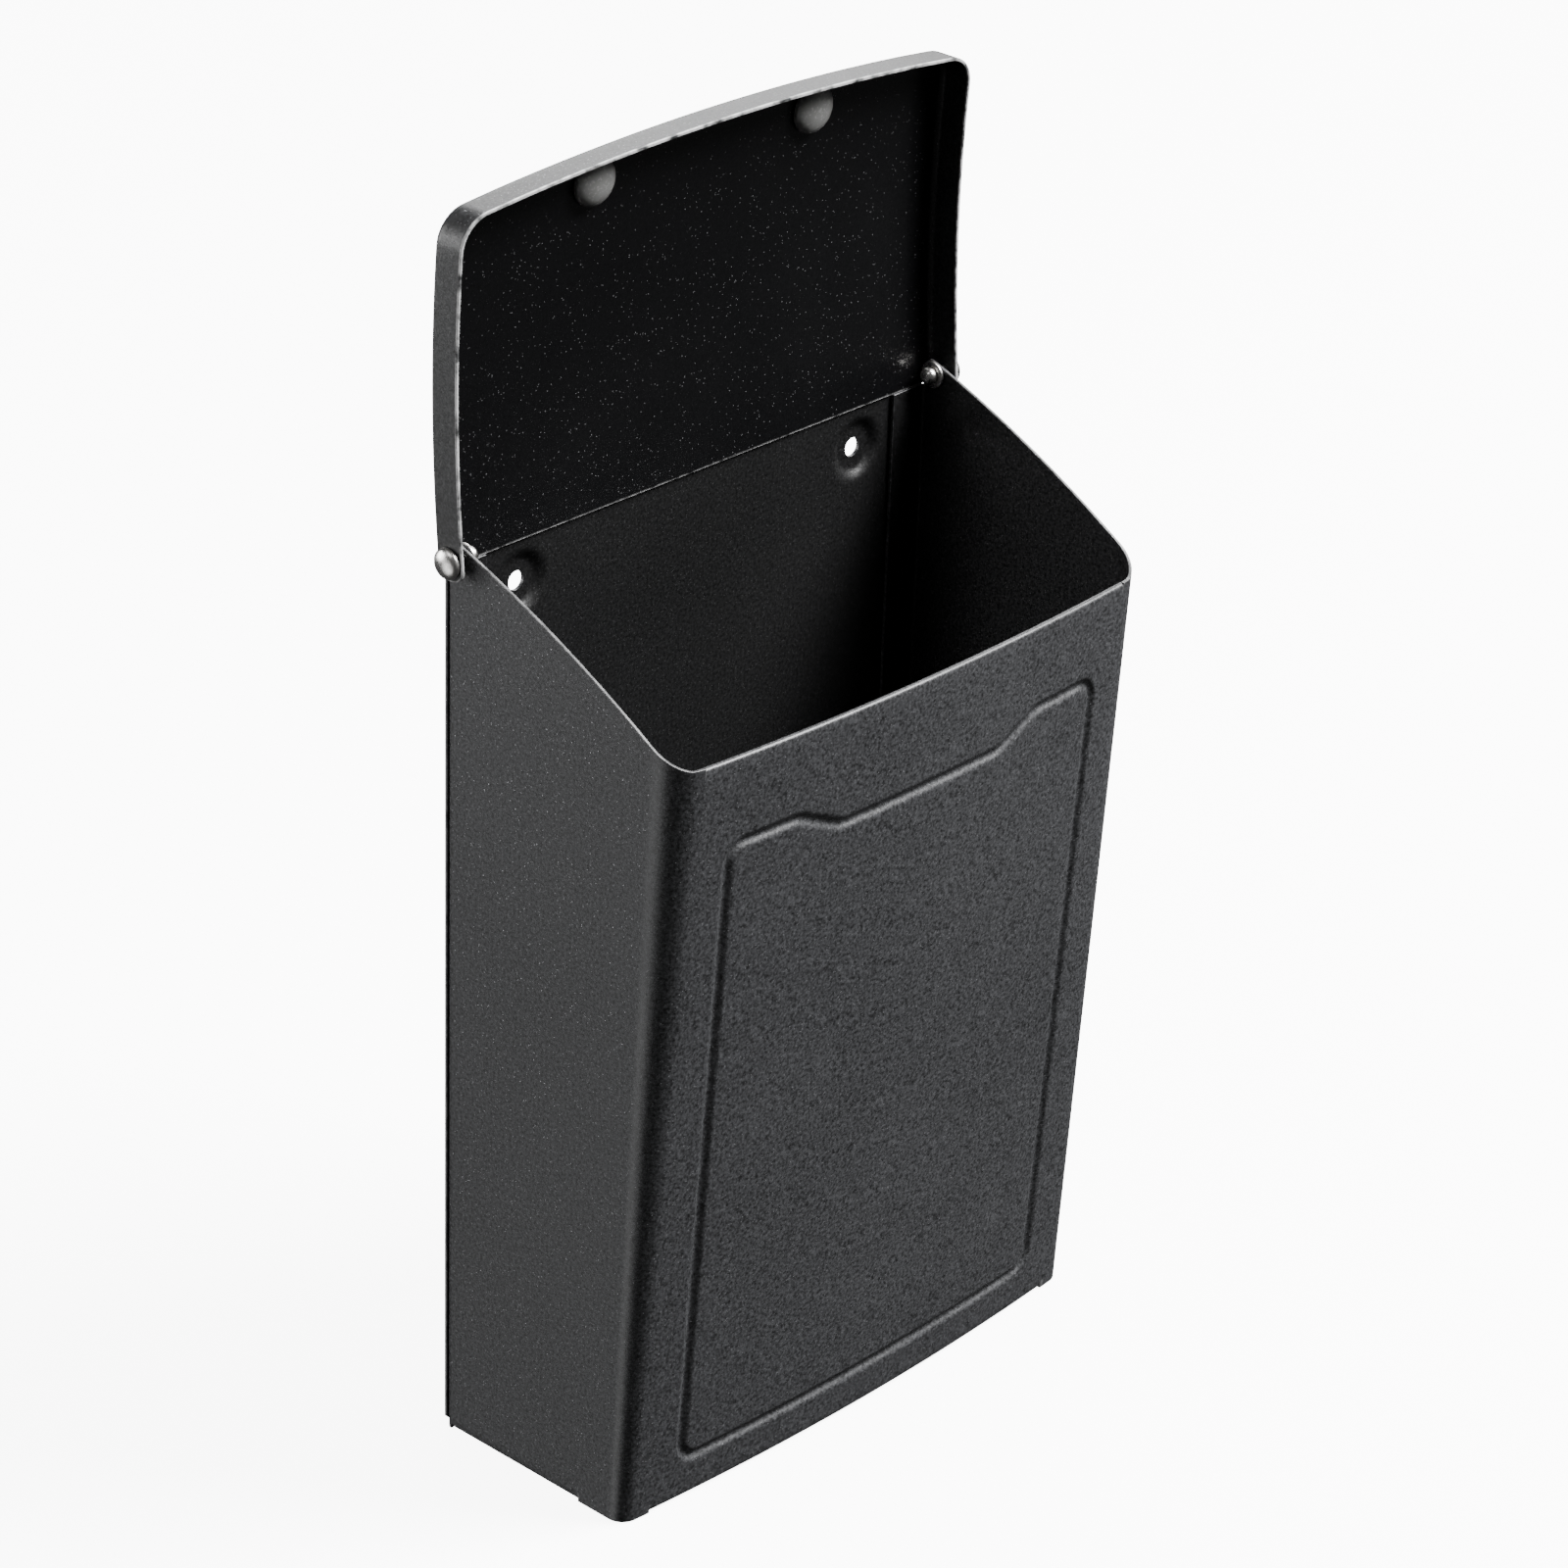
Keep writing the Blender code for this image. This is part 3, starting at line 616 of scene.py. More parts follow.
@dataclass
class Piece:
    """One visible piece: its shape, its place, its finishes and what it stands for."""

    name: str
    solid: Solid
    origin: Triple
    body: Body
    slot: str
    finishes: list[Material]
    holes: list[Hole] = field(default_factory=list)
    smooth_angle: float = 40.0

    def mesh_object(self) -> Object:
        """Turn the solid into an object in the row frame, in metres."""
        faces = self.solid.faces
        triangle = faces[:, 2] == faces[:, 3]
        order = np.concatenate([np.flatnonzero(~triangle), np.flatnonzero(triangle)])
        polygons = faces[~triangle].tolist() + faces[triangle][:, :3].tolist()
        mesh = bpy.data.meshes.new(self.name)
        place = (self.solid.points + np.array(self.origin)) * MM
        mesh.from_pydata(place.tolist(), [], polygons)
        mesh.polygons.foreach_set("material_index", self.solid.layers[order].astype(np.int32))
        edge = mesh.attributes.new("edge", "FLOAT", "POINT")
        edge.data.foreach_set("value", self.solid.edge.astype(np.float32))
        for finish in self.finishes:
            mesh.materials.append(finish)
        return linked(self.name, mesh)

    def drill(self, item: Object) -> None:
        """Cut the holes and keep the result as the piece's own mesh."""
        cutters = []
        for hole in self.holes:
            rod = np.array([[-CUT_DEPTH, 0.0], [-CUT_DEPTH, hole.radius], [CUT_DEPTH, hole.radius],
                            [CUT_DEPTH, 0.0]])
            shape = closed(turned(rod, 48))
            swap = {"x": [0, 1, 2], "y": [2, 0, 1], "z": [1, 2, 0]}[hole.axis]
            shape.points = shape.points[:, swap] + np.array(hole.centre)
            cutter = Piece(f"{self.name}_hole", shape, self.origin, self.body, self.slot,
                           []).mesh_object()
            modifier = item.modifiers.new(cutter.name, "BOOLEAN")
            modifier.operation, modifier.solver, modifier.object = "DIFFERENCE", "EXACT", cutter
            cutters.append(cutter)
        graph = bpy.context.evaluated_depsgraph_get()
        drilled = bpy.data.meshes.new_from_object(item.evaluated_get(graph), depsgraph=graph)
        item.modifiers.clear()
        item.data = drilled
        for cutter in cutters:
            bpy.data.objects.remove(cutter, do_unlink=True)

    def build(self) -> Object:
        """Make the object, ride it on its body and let it stand for its CAD node.

        Returns:
            The finished object.
        """
        item = self.mesh_object()
        if self.holes:
            self.drill(item)
        item.data.shade_smooth()
        item.data.set_sharp_from_angle(angle=math.radians(self.smooth_angle))
        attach(item, self.body.value)
        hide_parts(self.name.removesuffix("_look"))
        item.data.calc_loop_triangles()
        LOG.info("%s: %d triangles", self.name, len(item.data.loop_triangles))
        return item


# ---------------------------------------------------------------------------------------
# Sub-assemblies


@dataclass(frozen=True)
class LidForm:
    """The lid's sizes, measured from the hinge axis with the lid open: +Z is its reach."""

    half_width: float = 88.6
    arch_radius: float = 462.25
    arch_middle: float = 42.7
    wall_gap: float = 0.1
    rear_edge: float = -3.6
    reach: float = 91.5
    corner_reach: float = 86.5
    corner_radius: float = 9.0
    flange: float = 9.2
    bend: float = 2.2
    ear_radius: float = 4.6
    corner_points: int = 13
    closed_angle: float = math.radians(113.847)

    @property
    def arch_centre(self) -> float:
        """Place of the arch's centre line in depth, from the hinge axis towards the wall."""
        return -HINGE_Y - self.wall_gap - self.arch_radius

    def arch(self, reach: np.ndarray, inset: np.ndarray) -> np.ndarray:
        """Place of the arch in depth: a circle about its centre line, less an inset."""
        run = reach - self.arch_middle
        return self.arch_centre + np.sqrt((self.arch_radius - inset) ** 2 - run ** 2)

    def outline(self, inset: np.ndarray, rear: np.ndarray, side_share: np.ndarray,
                across: np.ndarray) -> Arrays:
        """Plan outlines from the right rear round the front to the left rear.

        The sides are straight, the front is a parabola, and each front corner is a circle
        that touches the side and the chord of the front next to it.

        Args:
            inset: Distance inwards from the outer outline, one for each row.
            rear: Reach at which each row's sides begin.
            side_share: Shares of a side's length, from 0 at the rear and without 1.
            across: Shares of the front's half width, from 1 to -1.

        Returns:
            Places across and reaches, both rows x points.
        """
        inset, rear = inset[:, None], rear[:, None]
        side = self.half_width - inset
        corner = self.corner_reach - inset
        radius = np.maximum(self.corner_radius - inset, 0.0)
        front_x = (side - 2 * self.corner_radius) * across[None]
        front_z = self.reach - inset
        front_z = front_z - (self.reach - self.corner_reach) * (front_x / self.half_width) ** 2
        ahead = unit(np.concatenate([front_x[:, :1] - side, front_z[:, :1] - corner], axis=1))
        vertex = np.concatenate([side, corner], axis=1)
        centre, *radii = rounded(vertex, np.array([[0.0, -1.0]]), ahead, radius)
        share = np.linspace(0.0, 1.0, self.corner_points)[:, None]
        arcs = centre[:, None] + swept(*(row[:, None] for row in radii), share)
        arc_x, arc_z = arcs[..., 0], arcs[..., 1]
        side_x = side + 0.0 * side_share[None]
        side_z = rear + (arc_z[:, :1] - rear) * side_share[None]
        x = np.concatenate([side_x, arc_x, front_x, -arc_x[:, ::-1], -side_x[:, ::-1]], axis=1)
        z = np.concatenate([side_z, arc_z, front_z, arc_z[:, ::-1], side_z[:, ::-1]], axis=1)
        return x, z


@dataclass(frozen=True)
class BoxForm:
    """The box's sizes, from its bottom edge and the wall, with its front towards -Y."""

    half_width: float = 85.0
    depth_low: float = 66.2
    depth_high: float = 79.4
    bow: float = 4.2
    front_height: float = 214.5
    corner_low: float = 5.0
    corner_high: float = 9.5
    rear: float = -2.8
    back_height: float = 243.0
    lobe_radius: float = 3.7
    front_limit: float = 76.0
    lid_gap: Triple = (1.4, 1.0, 3.6)

    def front(self, across: np.ndarray, height: np.ndarray) -> np.ndarray:
        """Outer face of the front: a depth that grows with height, bowed as a parabola."""
        depth = self.depth_low + (self.depth_high - self.depth_low) * height / self.front_height
        return -depth - self.bow * (1.0 - (across / self.half_width) ** 2)

    def side_top(self, y: np.ndarray, lid: LidForm) -> np.ndarray:
        """Top edge of the sides: the closed lid's underside, less a gap that grows to the front.

        The gap is quadratic in the share of the depth.  The edge ends at the front's height.
        """
        angle = lid.closed_angle
        middle = lid.arch_centre
        centre_y = HINGE_Y + middle * math.cos(angle) - lid.arch_middle * math.sin(angle)
        centre_z = HINGE_HEIGHT + middle * math.sin(angle) + lid.arch_middle * math.cos(angle)
        underside = centre_z + np.sqrt((lid.arch_radius - SHEET) ** 2 - (y - centre_y) ** 2)
        share = (self.rear - y) / (self.rear + self.depth_high)
        rear_gap, slope, curve = self.lid_gap
        gap = rear_gap + slope * share + curve * share ** 2
        return np.maximum(underside - gap, self.front_height)

    def corner(self, height: np.ndarray,
               inset: np.ndarray) -> Arrays:
        """Rounded front corner on the right.

        A circle touches the side and the chord of the front from the corner to the front's
        own part, and its radius grows with height.

        Args:
            height: Heights of any shape.
            inset: Distance inwards, of the same shape.

        Returns:
            The circle's centre, its radii to the side and to the front, and their angle.
        """
        radius = self.corner_low + (self.corner_high - self.corner_low) * height / self.front_height
        chord_x = np.full_like(height, self.half_width - 2 * self.corner_high)
        side_x = np.full_like(height, self.half_width)
        vertex = np.stack([side_x, self.front(side_x, height)], axis=-1)
        ahead = unit(np.stack([chord_x, self.front(chord_x, height)], axis=-1) - vertex)
        radius = radius[..., None]
        centre, start, end, sweep = rounded(vertex, np.array([0.0, 1.0]), ahead, radius)
        shrink = (radius - inset[..., None]) / radius
        return centre, start * shrink, end * shrink, sweep


class Zone(Enum):
    """Stretches of the box's plan on the right half, from the rear flange to the middle."""

    FLANGE = 0
    BEND = 1
    SIDE = 2
    CORNER = 3
    JOIN = 4
    FRONT = 5


@dataclass
class FrontShell:
    """Front and both sides in one folded sheet, with flanges, hem and pressed bead."""

    form: BoxForm
    lid: LidForm
    rear_bend: float = 1.5
    floor_bend: float = 1.6
    floor_flange: float = 10.0
    hem: float = 9.5
    hem_radius: float = 1.0
    bead_depth: float = 1.0
    bead_half: float = 2.1
    bead_corners: tuple[tuple[float, float], ...] = (
        (66.5, 12.0), (66.5, 190.7), (43.5, 190.7), (29.0, 184.0))
    bead_rounding: tuple[float, ...] = (5.5, 5.5, 6.0, 6.0)
    bead_corner_points: int = 9
    # Share of the raw-edge lightening kept near the wall; the cut is painted shade there.
    rear_edge_shade_share: float = 0.25
    flange_lines: tuple[float, ...] = (10.5, 9.9, 7.0, 3.5)
    side_runs: Runs = ((0.0, 0.13, 14), (0.13, 0.812, 20))
    notch_runs: Runs = ((0.812, 0.85, 2), (0.85, 0.98, 4))
    front_runs: Runs = (
        (76.0, 71.0, 4), (71.0, 58.0, 28), (58.0, 48.0, 5), (48.0, 25.0, 17), (25.0, 0.0, 8))
    wall_runs: Runs = ((7.0, 19.0, 28), (19.0, 180.0, 26), (180.0, 194.5, 34))
    corner_points: int = 15
    first_top: float = 230.0
    top_rounds: int = 30

    def bead_path(self) -> np.ndarray:
        """Centre line of the bead, as closed rows of across and height, with round corners."""
        right = np.array(self.bead_corners)
        corners = np.concatenate([right, (right * [-1.0, 1.0])[::-1]])
        rounding = np.array(self.bead_rounding + self.bead_rounding[::-1])[:, None]
        back = unit(np.roll(corners, 1, axis=0) - corners)
        ahead = unit(np.roll(corners, -1, axis=0) - corners)
        centre, *radii = rounded(corners, back, ahead, rounding)
        share = np.linspace(0.0, 1.0, self.bead_corner_points)[:, None]
        return (centre[:, None] + swept(*(row[:, None] for row in radii), share)).reshape(-1, 2)

    def bead(self, across: np.ndarray, height: np.ndarray) -> np.ndarray:
        """Depth of the bead: a raised cosine of the distance from its centre line."""
        path = self.bead_path()
        run = np.roll(path, -1, axis=0) - path
        place = np.stack([across, height], axis=-1)[..., None, :] - path
        share = np.clip(np.sum(place * run, axis=-1) / np.sum(run * run, axis=-1), 0.0, 1.0)
        distance = np.linalg.norm(place - share[..., None] * run, axis=-1).min(axis=-1)
        bump = np.cos(math.pi / 2 * np.clip(distance / self.bead_half, 0.0, 1.0)) ** 2
        return self.bead_depth * bump

    def columns(self) -> Arrays:
        """Columns of the right half, from the rear flange's edge to the middle.

        Returns:
            Zone numbers, values within the zone, and whether the column has a bottom flange.
        """
        flange = self.form.half_width - self.rear_bend - np.array(self.flange_lines)
        front = spaced(*self.front_runs)
        runs = [(Zone.FLANGE, flange, 0), (Zone.BEND, np.append(0.0, QUARTER_TURN), 0),
                (Zone.SIDE, spaced(*self.side_runs), 1), (Zone.SIDE, spaced(*self.notch_runs), 0),
                (Zone.CORNER, np.linspace(0.0, 1.0, self.corner_points), 0),
                (Zone.JOIN, np.array([0.5]), 0), (Zone.FRONT, front[:1], 0), (Zone.FRONT, front, 1)]
        zone = np.concatenate([np.full(len(values), kind.value) for kind, values, _ in runs])
        value = np.concatenate([values for _, values, _ in runs])
        floor = np.concatenate([np.full(len(values), has) for _, values, has in runs])
        return zone, value, floor.astype(bool)

    def plan(self, zone: np.ndarray, value: np.ndarray, height: np.ndarray,
             inset: np.ndarray) -> Arrays:
        """Places of the right half in plan.

        Each zone has its own formula: straight rear flange, quarter circle, straight side,
        corner circle, straight join, and the bowed front.

        Args:
            zone: Zone number of each column.
            value: Value of each column within its zone.
            height: Heights, rows x columns.
            inset: Distances inwards, rows x columns.

        Returns:
            Places across and in depth, rows x columns.
        """
        form, bend = self.form, self.rear_bend
        value = value + 0.0 * height
        centre, *radii = form.corner(height, inset)
        share = np.clip(np.where(zone == Zone.CORNER.value, value, 1.0), 0, 1)[..., None]
        corner = centre + swept(*radii, share)
        limit = np.full_like(height, form.front_limit)
        ending = np.stack([limit, form.front(limit, height) + inset], axis=-1)
        join = corner + (ending - corner) * value[..., None]
        rear = form.rear - bend
        kinds = [zone == kind.value for kind in Zone]
        x = np.select(kinds, [
            value, form.half_width - bend + (bend - inset) * np.sin(value),
            form.half_width - inset, corner[..., 0], join[..., 0], value])
        y = np.select(kinds, [
            form.rear - inset, rear + (bend - inset) * np.cos(value),
            rear + value * (centre[..., 1] - rear), corner[..., 1], join[..., 1],
            form.front(value, height) + inset])
        return x, y

    def tops(self, zone: np.ndarray, value: np.ndarray) -> Arrays:
        """Top edge of each column and the height at which its last strip begins.

        The top follows the closed lid, less a gap, and rounds off about the hinge.  It
        depends on the place in depth, which depends a little on the height, so it is
        found by repeating both.

        Args:
            zone: Zone number of each column.
            value: Value of each column within its zone.

        Returns:
            Top heights and strip heights of the columns.
        """
        form = self.form
        top = np.full(len(zone), self.first_top)
        for _ in range(self.top_rounds):
            _, y = self.plan(zone, value, top[None], np.zeros((1, len(zone))))
            top = form.side_top(y[0], self.lid)
        reach = np.sqrt(np.clip(form.lobe_radius ** 2 - (y[0] - HINGE_Y) ** 2, 0.0, None))
        top = np.where(y[0] > HINGE_Y, np.minimum(top, HINGE_HEIGHT + reach), top)
        top = np.where(zone < Zone.SIDE.value, form.back_height, top)
        top = np.where(zone == Zone.FRONT.value, form.front_height, top)
        strip = np.minimum(top - self.hem_radius, form.back_height - self.hem_radius)
        return top, strip

    def surface(self) -> Surface:
        """Outer face of the whole sheet on one grid.

        Rows run up: the bottom flange, its bend, the wall with its bead, the strip below the
        top edge, and the hem that folds over and down.  Quads that a column doesn't have,
        such as the flange in a notched corner, are left out.

        Returns:
            The surface, welded.
        """
        zone, value, floor = self.columns()
        top, strip = self.tops(zone, value)
        hem = (zone == Zone.FRONT.value) & floor
        radius, fold = self.floor_bend, self.hem_radius
        flange = np.array([self.floor_flange, self.floor_flange - RAW_EDGE, 7.0, 4.0])
        angle = np.append(0.0, QUARTER_TURN)
        wall = spaced((radius, self.wall_runs[0][0], 3), *self.wall_runs,
                      (self.wall_runs[-1][1], self.form.front_height - fold, 5))[1:]
        share = (wall - radius) / (wall[-1] - radius)
        low_inset = np.concatenate([flange, radius * (1 - np.sin(angle))])[:, None] * floor
        bent = np.concatenate([0 * flange, radius * (1 - np.cos(angle))])[:, None]
        straight = np.concatenate([0 * flange, radius * angle / angle[-1]])[:, None]
        low = np.where(floor, bent, straight)
        rise = radius + share[:, None] * (strip - radius)
        pressed = np.where(hem, self.bead(value + 0 * rise, rise), 0.0)
        turn = QUARTER_TURN[:, None]
        part = np.array([0.35, 0.7, 0.9, 1.0])[:, None]
        edge = np.where(hem, strip + fold * np.sin(turn), strip + (top - strip) * part)
        edge_inset = np.where(hem, fold * (1 - np.cos(turn)), 0.0)
        over = QUARTER_TURN + math.pi / 2
        down = np.array([3.0, 6.0, self.hem - fold - RAW_EDGE, self.hem - fold])
        back = np.concatenate([strip[-1] + fold * np.sin(over), strip[-1] - down])[:, None] + 0 * top
        back_inset = np.concatenate([fold * (1 - np.cos(over)), 2 * fold + 0 * down])[:, None]
        height = np.concatenate([low, rise, edge, back])
        inset = np.concatenate([low_inset, pressed, edge_inset, back_inset + 0 * top])
        x, y = self.plan(zone, value, height, inset)
        rows = height.shape[0]
        keep = np.ones((rows - 1, len(zone) - 1), bool)
        both_floor, both_hem = floor[1:] & floor[:-1], hem[1:] & hem[:-1]
        split = floor[1:] != floor[:-1]
        first_wall, first_edge = len(low) - 1, len(low) + len(rise) - 1
        keep[:len(flange)] &= both_floor
        keep[:first_wall] &= ~split
        keep[first_edge:first_edge + len(edge)] &= hem[1:] == hem[:-1]
        keep[first_edge + len(edge):] &= both_hem
        right = Surface.grid(np.stack([x, y, height], axis=-1), keep).flipped()
        mirrored = Surface(right.points * [-1.0, 1.0, 1.0], right.faces[:, ::-1])
        return Surface.joined([right, mirrored]).welded()

    def build(self, finishes: list[Material]) -> Object:
        """Make the shell with its hinge holes."""
        holes = [Hole((side * self.form.half_width, HINGE_Y, HINGE_HEIGHT), HINGE_HOLE_RADIUS, "x")
                 for side in SIDES]
        solid = thickened(self.surface())
        # Painted shade: the raw-edge lightening near the wall is cut to a share, where the edges lie in
        # shade.
        solid.edge[solid.points[:, 1] > self.form.rear - 2.0] *= self.rear_edge_shade_share
        return Piece("front_shell_look", solid, BOX_ORIGIN, Body.BOX, "outer_paint", finishes,
                     holes).build()


@dataclass
class BackPanel:
    """Flat back sheet with four dished screw pads."""

    half_width: float = 84.5
    height: float = 243.0
    outer_y: float = -1.6
    chamfer: float = 2.5
    dish_depth: float = 1.6
    pad_radius: float = 5.5
    dish_radius: float = 9.4
    screw_x: float = 60.3
    screw_low: float = 24.5
    screw_high: float = 231.5
    screw_radius: float = 2.6
    near: float = 11.0

    def dish(self, x: np.ndarray, z: np.ndarray) -> np.ndarray:
        """Depth of the dishes: 1 on the pad, falling as a smooth step to the dish's rim."""
        low = np.hypot(np.abs(x) - self.screw_x, z - self.screw_low)
        high = np.hypot(np.abs(x) - self.screw_x, z - self.screw_high)
        distance = np.minimum(low, high)
        share = np.clip((self.dish_radius - distance) / (self.dish_radius - self.pad_radius), 0, 1)
        return self.dish_depth * share * share * (3 - 2 * share)

    def surface(self) -> Surface:
        """Rear face on a grid that is fine round the dishes, with chamfered bottom corners."""
        near, side = self.near, self.half_width - RAW_EDGE
        half = spaced((0.0, self.screw_x - near, 8), (self.screw_x - near, self.screw_x + near, 34),
                      (self.screw_x + near, side, 3), (side, self.half_width, 1))
        across = np.concatenate([-half[:0:-1], half])
        up = spaced((0.0, RAW_EDGE, 1), (RAW_EDGE, self.chamfer, 2),
                    (self.chamfer, self.screw_low - near, 3),
                    (self.screw_low - near, self.screw_low + near, 34),
                    (self.screw_low + near, self.screw_high - near, 14),
                    (self.screw_high - near, self.height - RAW_EDGE, 34),
                    (self.height - RAW_EDGE, self.height, 1))
        z, x = np.meshgrid(up, across, indexing="ij")
        cut = np.clip(self.chamfer - z, 0.0, None) * np.clip(np.abs(x) / self.half_width, 0, 1) ** 6
        x = x - np.sign(x) * cut
        y = self.outer_y + self.dish(x, z)
        return Surface.grid(np.stack([x, y, z], axis=-1)).flipped().welded()

    def build(self, finishes: list[Material]) -> Object:
        """Make the panel with its screw holes."""
        holes = [Hole((side * self.screw_x, 0.0, height), self.screw_radius, "y")
                 for side in SIDES for height in (self.screw_low, self.screw_high)]
        return Piece("back_panel_look", thickened(self.surface()), BOX_ORIGIN, Body.BOX, "inner_paint",
                     finishes, holes).build()


@dataclass
class BottomPan:
    """Floor sheet with a rear upstand and four drain holes."""

    form: BoxForm
    low: float = 1.2
    clearance: float = 0.4
    upstand: float = 13.0
    bend: float = 1.5
    rear: float = -4.0
    drain_x: float = 55.0
    drain_y: tuple[float, float] = (-18.0, -52.0)
    drain_radius: float = 2.5

    def surface(self) -> Surface:
        """Underside and rear face on one grid.

        Columns run across and rows from the front edge to the rear, round a quarter circle
        and up the rear.  The front edge is the bowed front, with a quarter circle at each end.

        Returns:
            The surface, welded.
        """
        inset = SHEET + self.clearance
        side, radius = self.form.half_width - inset, self.form.corner_low - inset
        turn = np.radians(np.linspace(90.0, 0.0, 9))
        half = np.concatenate([side - radius + radius * np.sin(turn),
                               np.linspace(side - radius, 0.0, 18)[1:]])
        fall = np.concatenate([radius * (1 - np.cos(turn)), np.zeros(17)])
        front = self.form.front(half, np.zeros_like(half)) + inset + fall
        across, front = np.concatenate([half, -half[-2::-1]]), np.concatenate([front, front[-2::-1]])
        depth = spaced((0.0, 0.01, 1), (0.01, 0.99, 12), (0.99, 1.0, 1))[:, None]
        rear = self.rear - self.bend
        angle = QUARTER_TURN[:, None]
        up = np.array([4.0, 8.0, self.upstand - RAW_EDGE, self.upstand])[:, None]
        floor_y = front + (rear - front) * depth
        y = np.concatenate([floor_y, rear + self.bend * np.sin(angle) + 0 * across,
                            self.rear + 0 * up + 0 * across])
        z = np.concatenate([0 * floor_y, self.bend * (1 - np.cos(angle)) + 0 * across, up + 0 * across])
        x = across + 0 * y
        return Surface.grid(np.stack([x, y, z + self.low], axis=-1)).welded()

    def build(self, finishes: list[Material]) -> Object:
        """Make the pan with its drain holes."""
        holes = [Hole((side * self.drain_x, y, self.low), self.drain_radius, "z")
                 for side in SIDES for y in self.drain_y]
        return Piece("bottom_pan_look", thickened(self.surface()), BOX_ORIGIN, Body.BOX, "inner_paint",
                     finishes, holes).build()


@dataclass
class Lid:
    """Arched lid with a bent flange on three sides, rounded off about the hinge."""

    form: LidForm
    bend_points: int = 8
    flat_insets: tuple[float, ...] = (6.5, 4.2)
    flange_depths: tuple[float, ...] = (3.2, 4.2, 5.2, 6.2, 7.0, 7.8)
    side_runs: Runs = ((0.0, 0.008, 1), (0.008, 0.08, 6), (0.08, 1.0, 18))
    front_points: int = 41
    full_ear: float = 3.0

    def surface(self) -> Surface:
        """Outer face: rings from the flat part round the bend to the flange's free edge.

        A ring is the plan outline set in by a distance, at a depth below the arch.  The
        rings begin where the corner's radius has shrunk to nothing, and a grid with the same
        sides fills the middle.

        Returns:
            The surface, welded.
        """
        form = self.form
        angle = np.linspace(0.0, math.pi / 2, self.bend_points)
        bend = form.bend
        flat = np.array([form.corner_radius, *self.flat_insets])
        down = np.array([*self.flange_depths, form.flange - RAW_EDGE, form.flange])
        inset = np.concatenate([flat, bend * (1 - np.sin(angle)), 0 * down])
        depth = np.concatenate([0 * flat, bend * (1 - np.cos(angle)), down])
        lip = form.arch(np.zeros_like(depth), depth)
        round_end = -np.sqrt(np.clip(form.ear_radius ** 2 - lip ** 2, 0.0, None))
        rear = np.where(lip > self.full_ear, form.rear_edge, np.minimum(round_end, 0.0))
        side_share = spaced(*self.side_runs)[:-1]
        across = np.linspace(1.0, -1.0, self.front_points)
        x, z = form.outline(inset, rear, side_share, across)
        y = form.arch(z, depth[:, None])
        rings = Surface.grid(np.stack([x, y, z], axis=-1))
        sides = len(side_share)
        front_x, front_z = x[0, sides:-sides], z[0, sides:-sides]
        share = np.append(side_share, 1.0)[:, None]
        middle_z = form.rear_edge + (front_z - form.rear_edge) * share
        middle_x = front_x + 0 * middle_z
        middle = np.stack([middle_x, form.arch(middle_z, 0.0), middle_z], axis=-1)
        return Surface.joined([rings, Surface.grid(middle)]).welded()

    def build(self, finishes: list[Material]) -> Object:
        """Make the lid with the holes in its ears."""
        holes = [Hole((side * self.form.half_width, 0.0, 0.0), HINGE_HOLE_RADIUS, "x")
                 for side in SIDES]
        solid = thickened(self.surface())
        across = np.abs(solid.points[solid.faces].mean(axis=1)[:, 0])
        # The bends and side flanges keep the lid's outside copy, not the near-black painted shade of the
        # inside.
        solid.layers[across > self.form.half_width - self.form.bend] = Layer.OUTER.value
        return Piece("lid_look", solid, HINGE_ORIGIN, Body.LID, "lid_paint", finishes, holes).build()


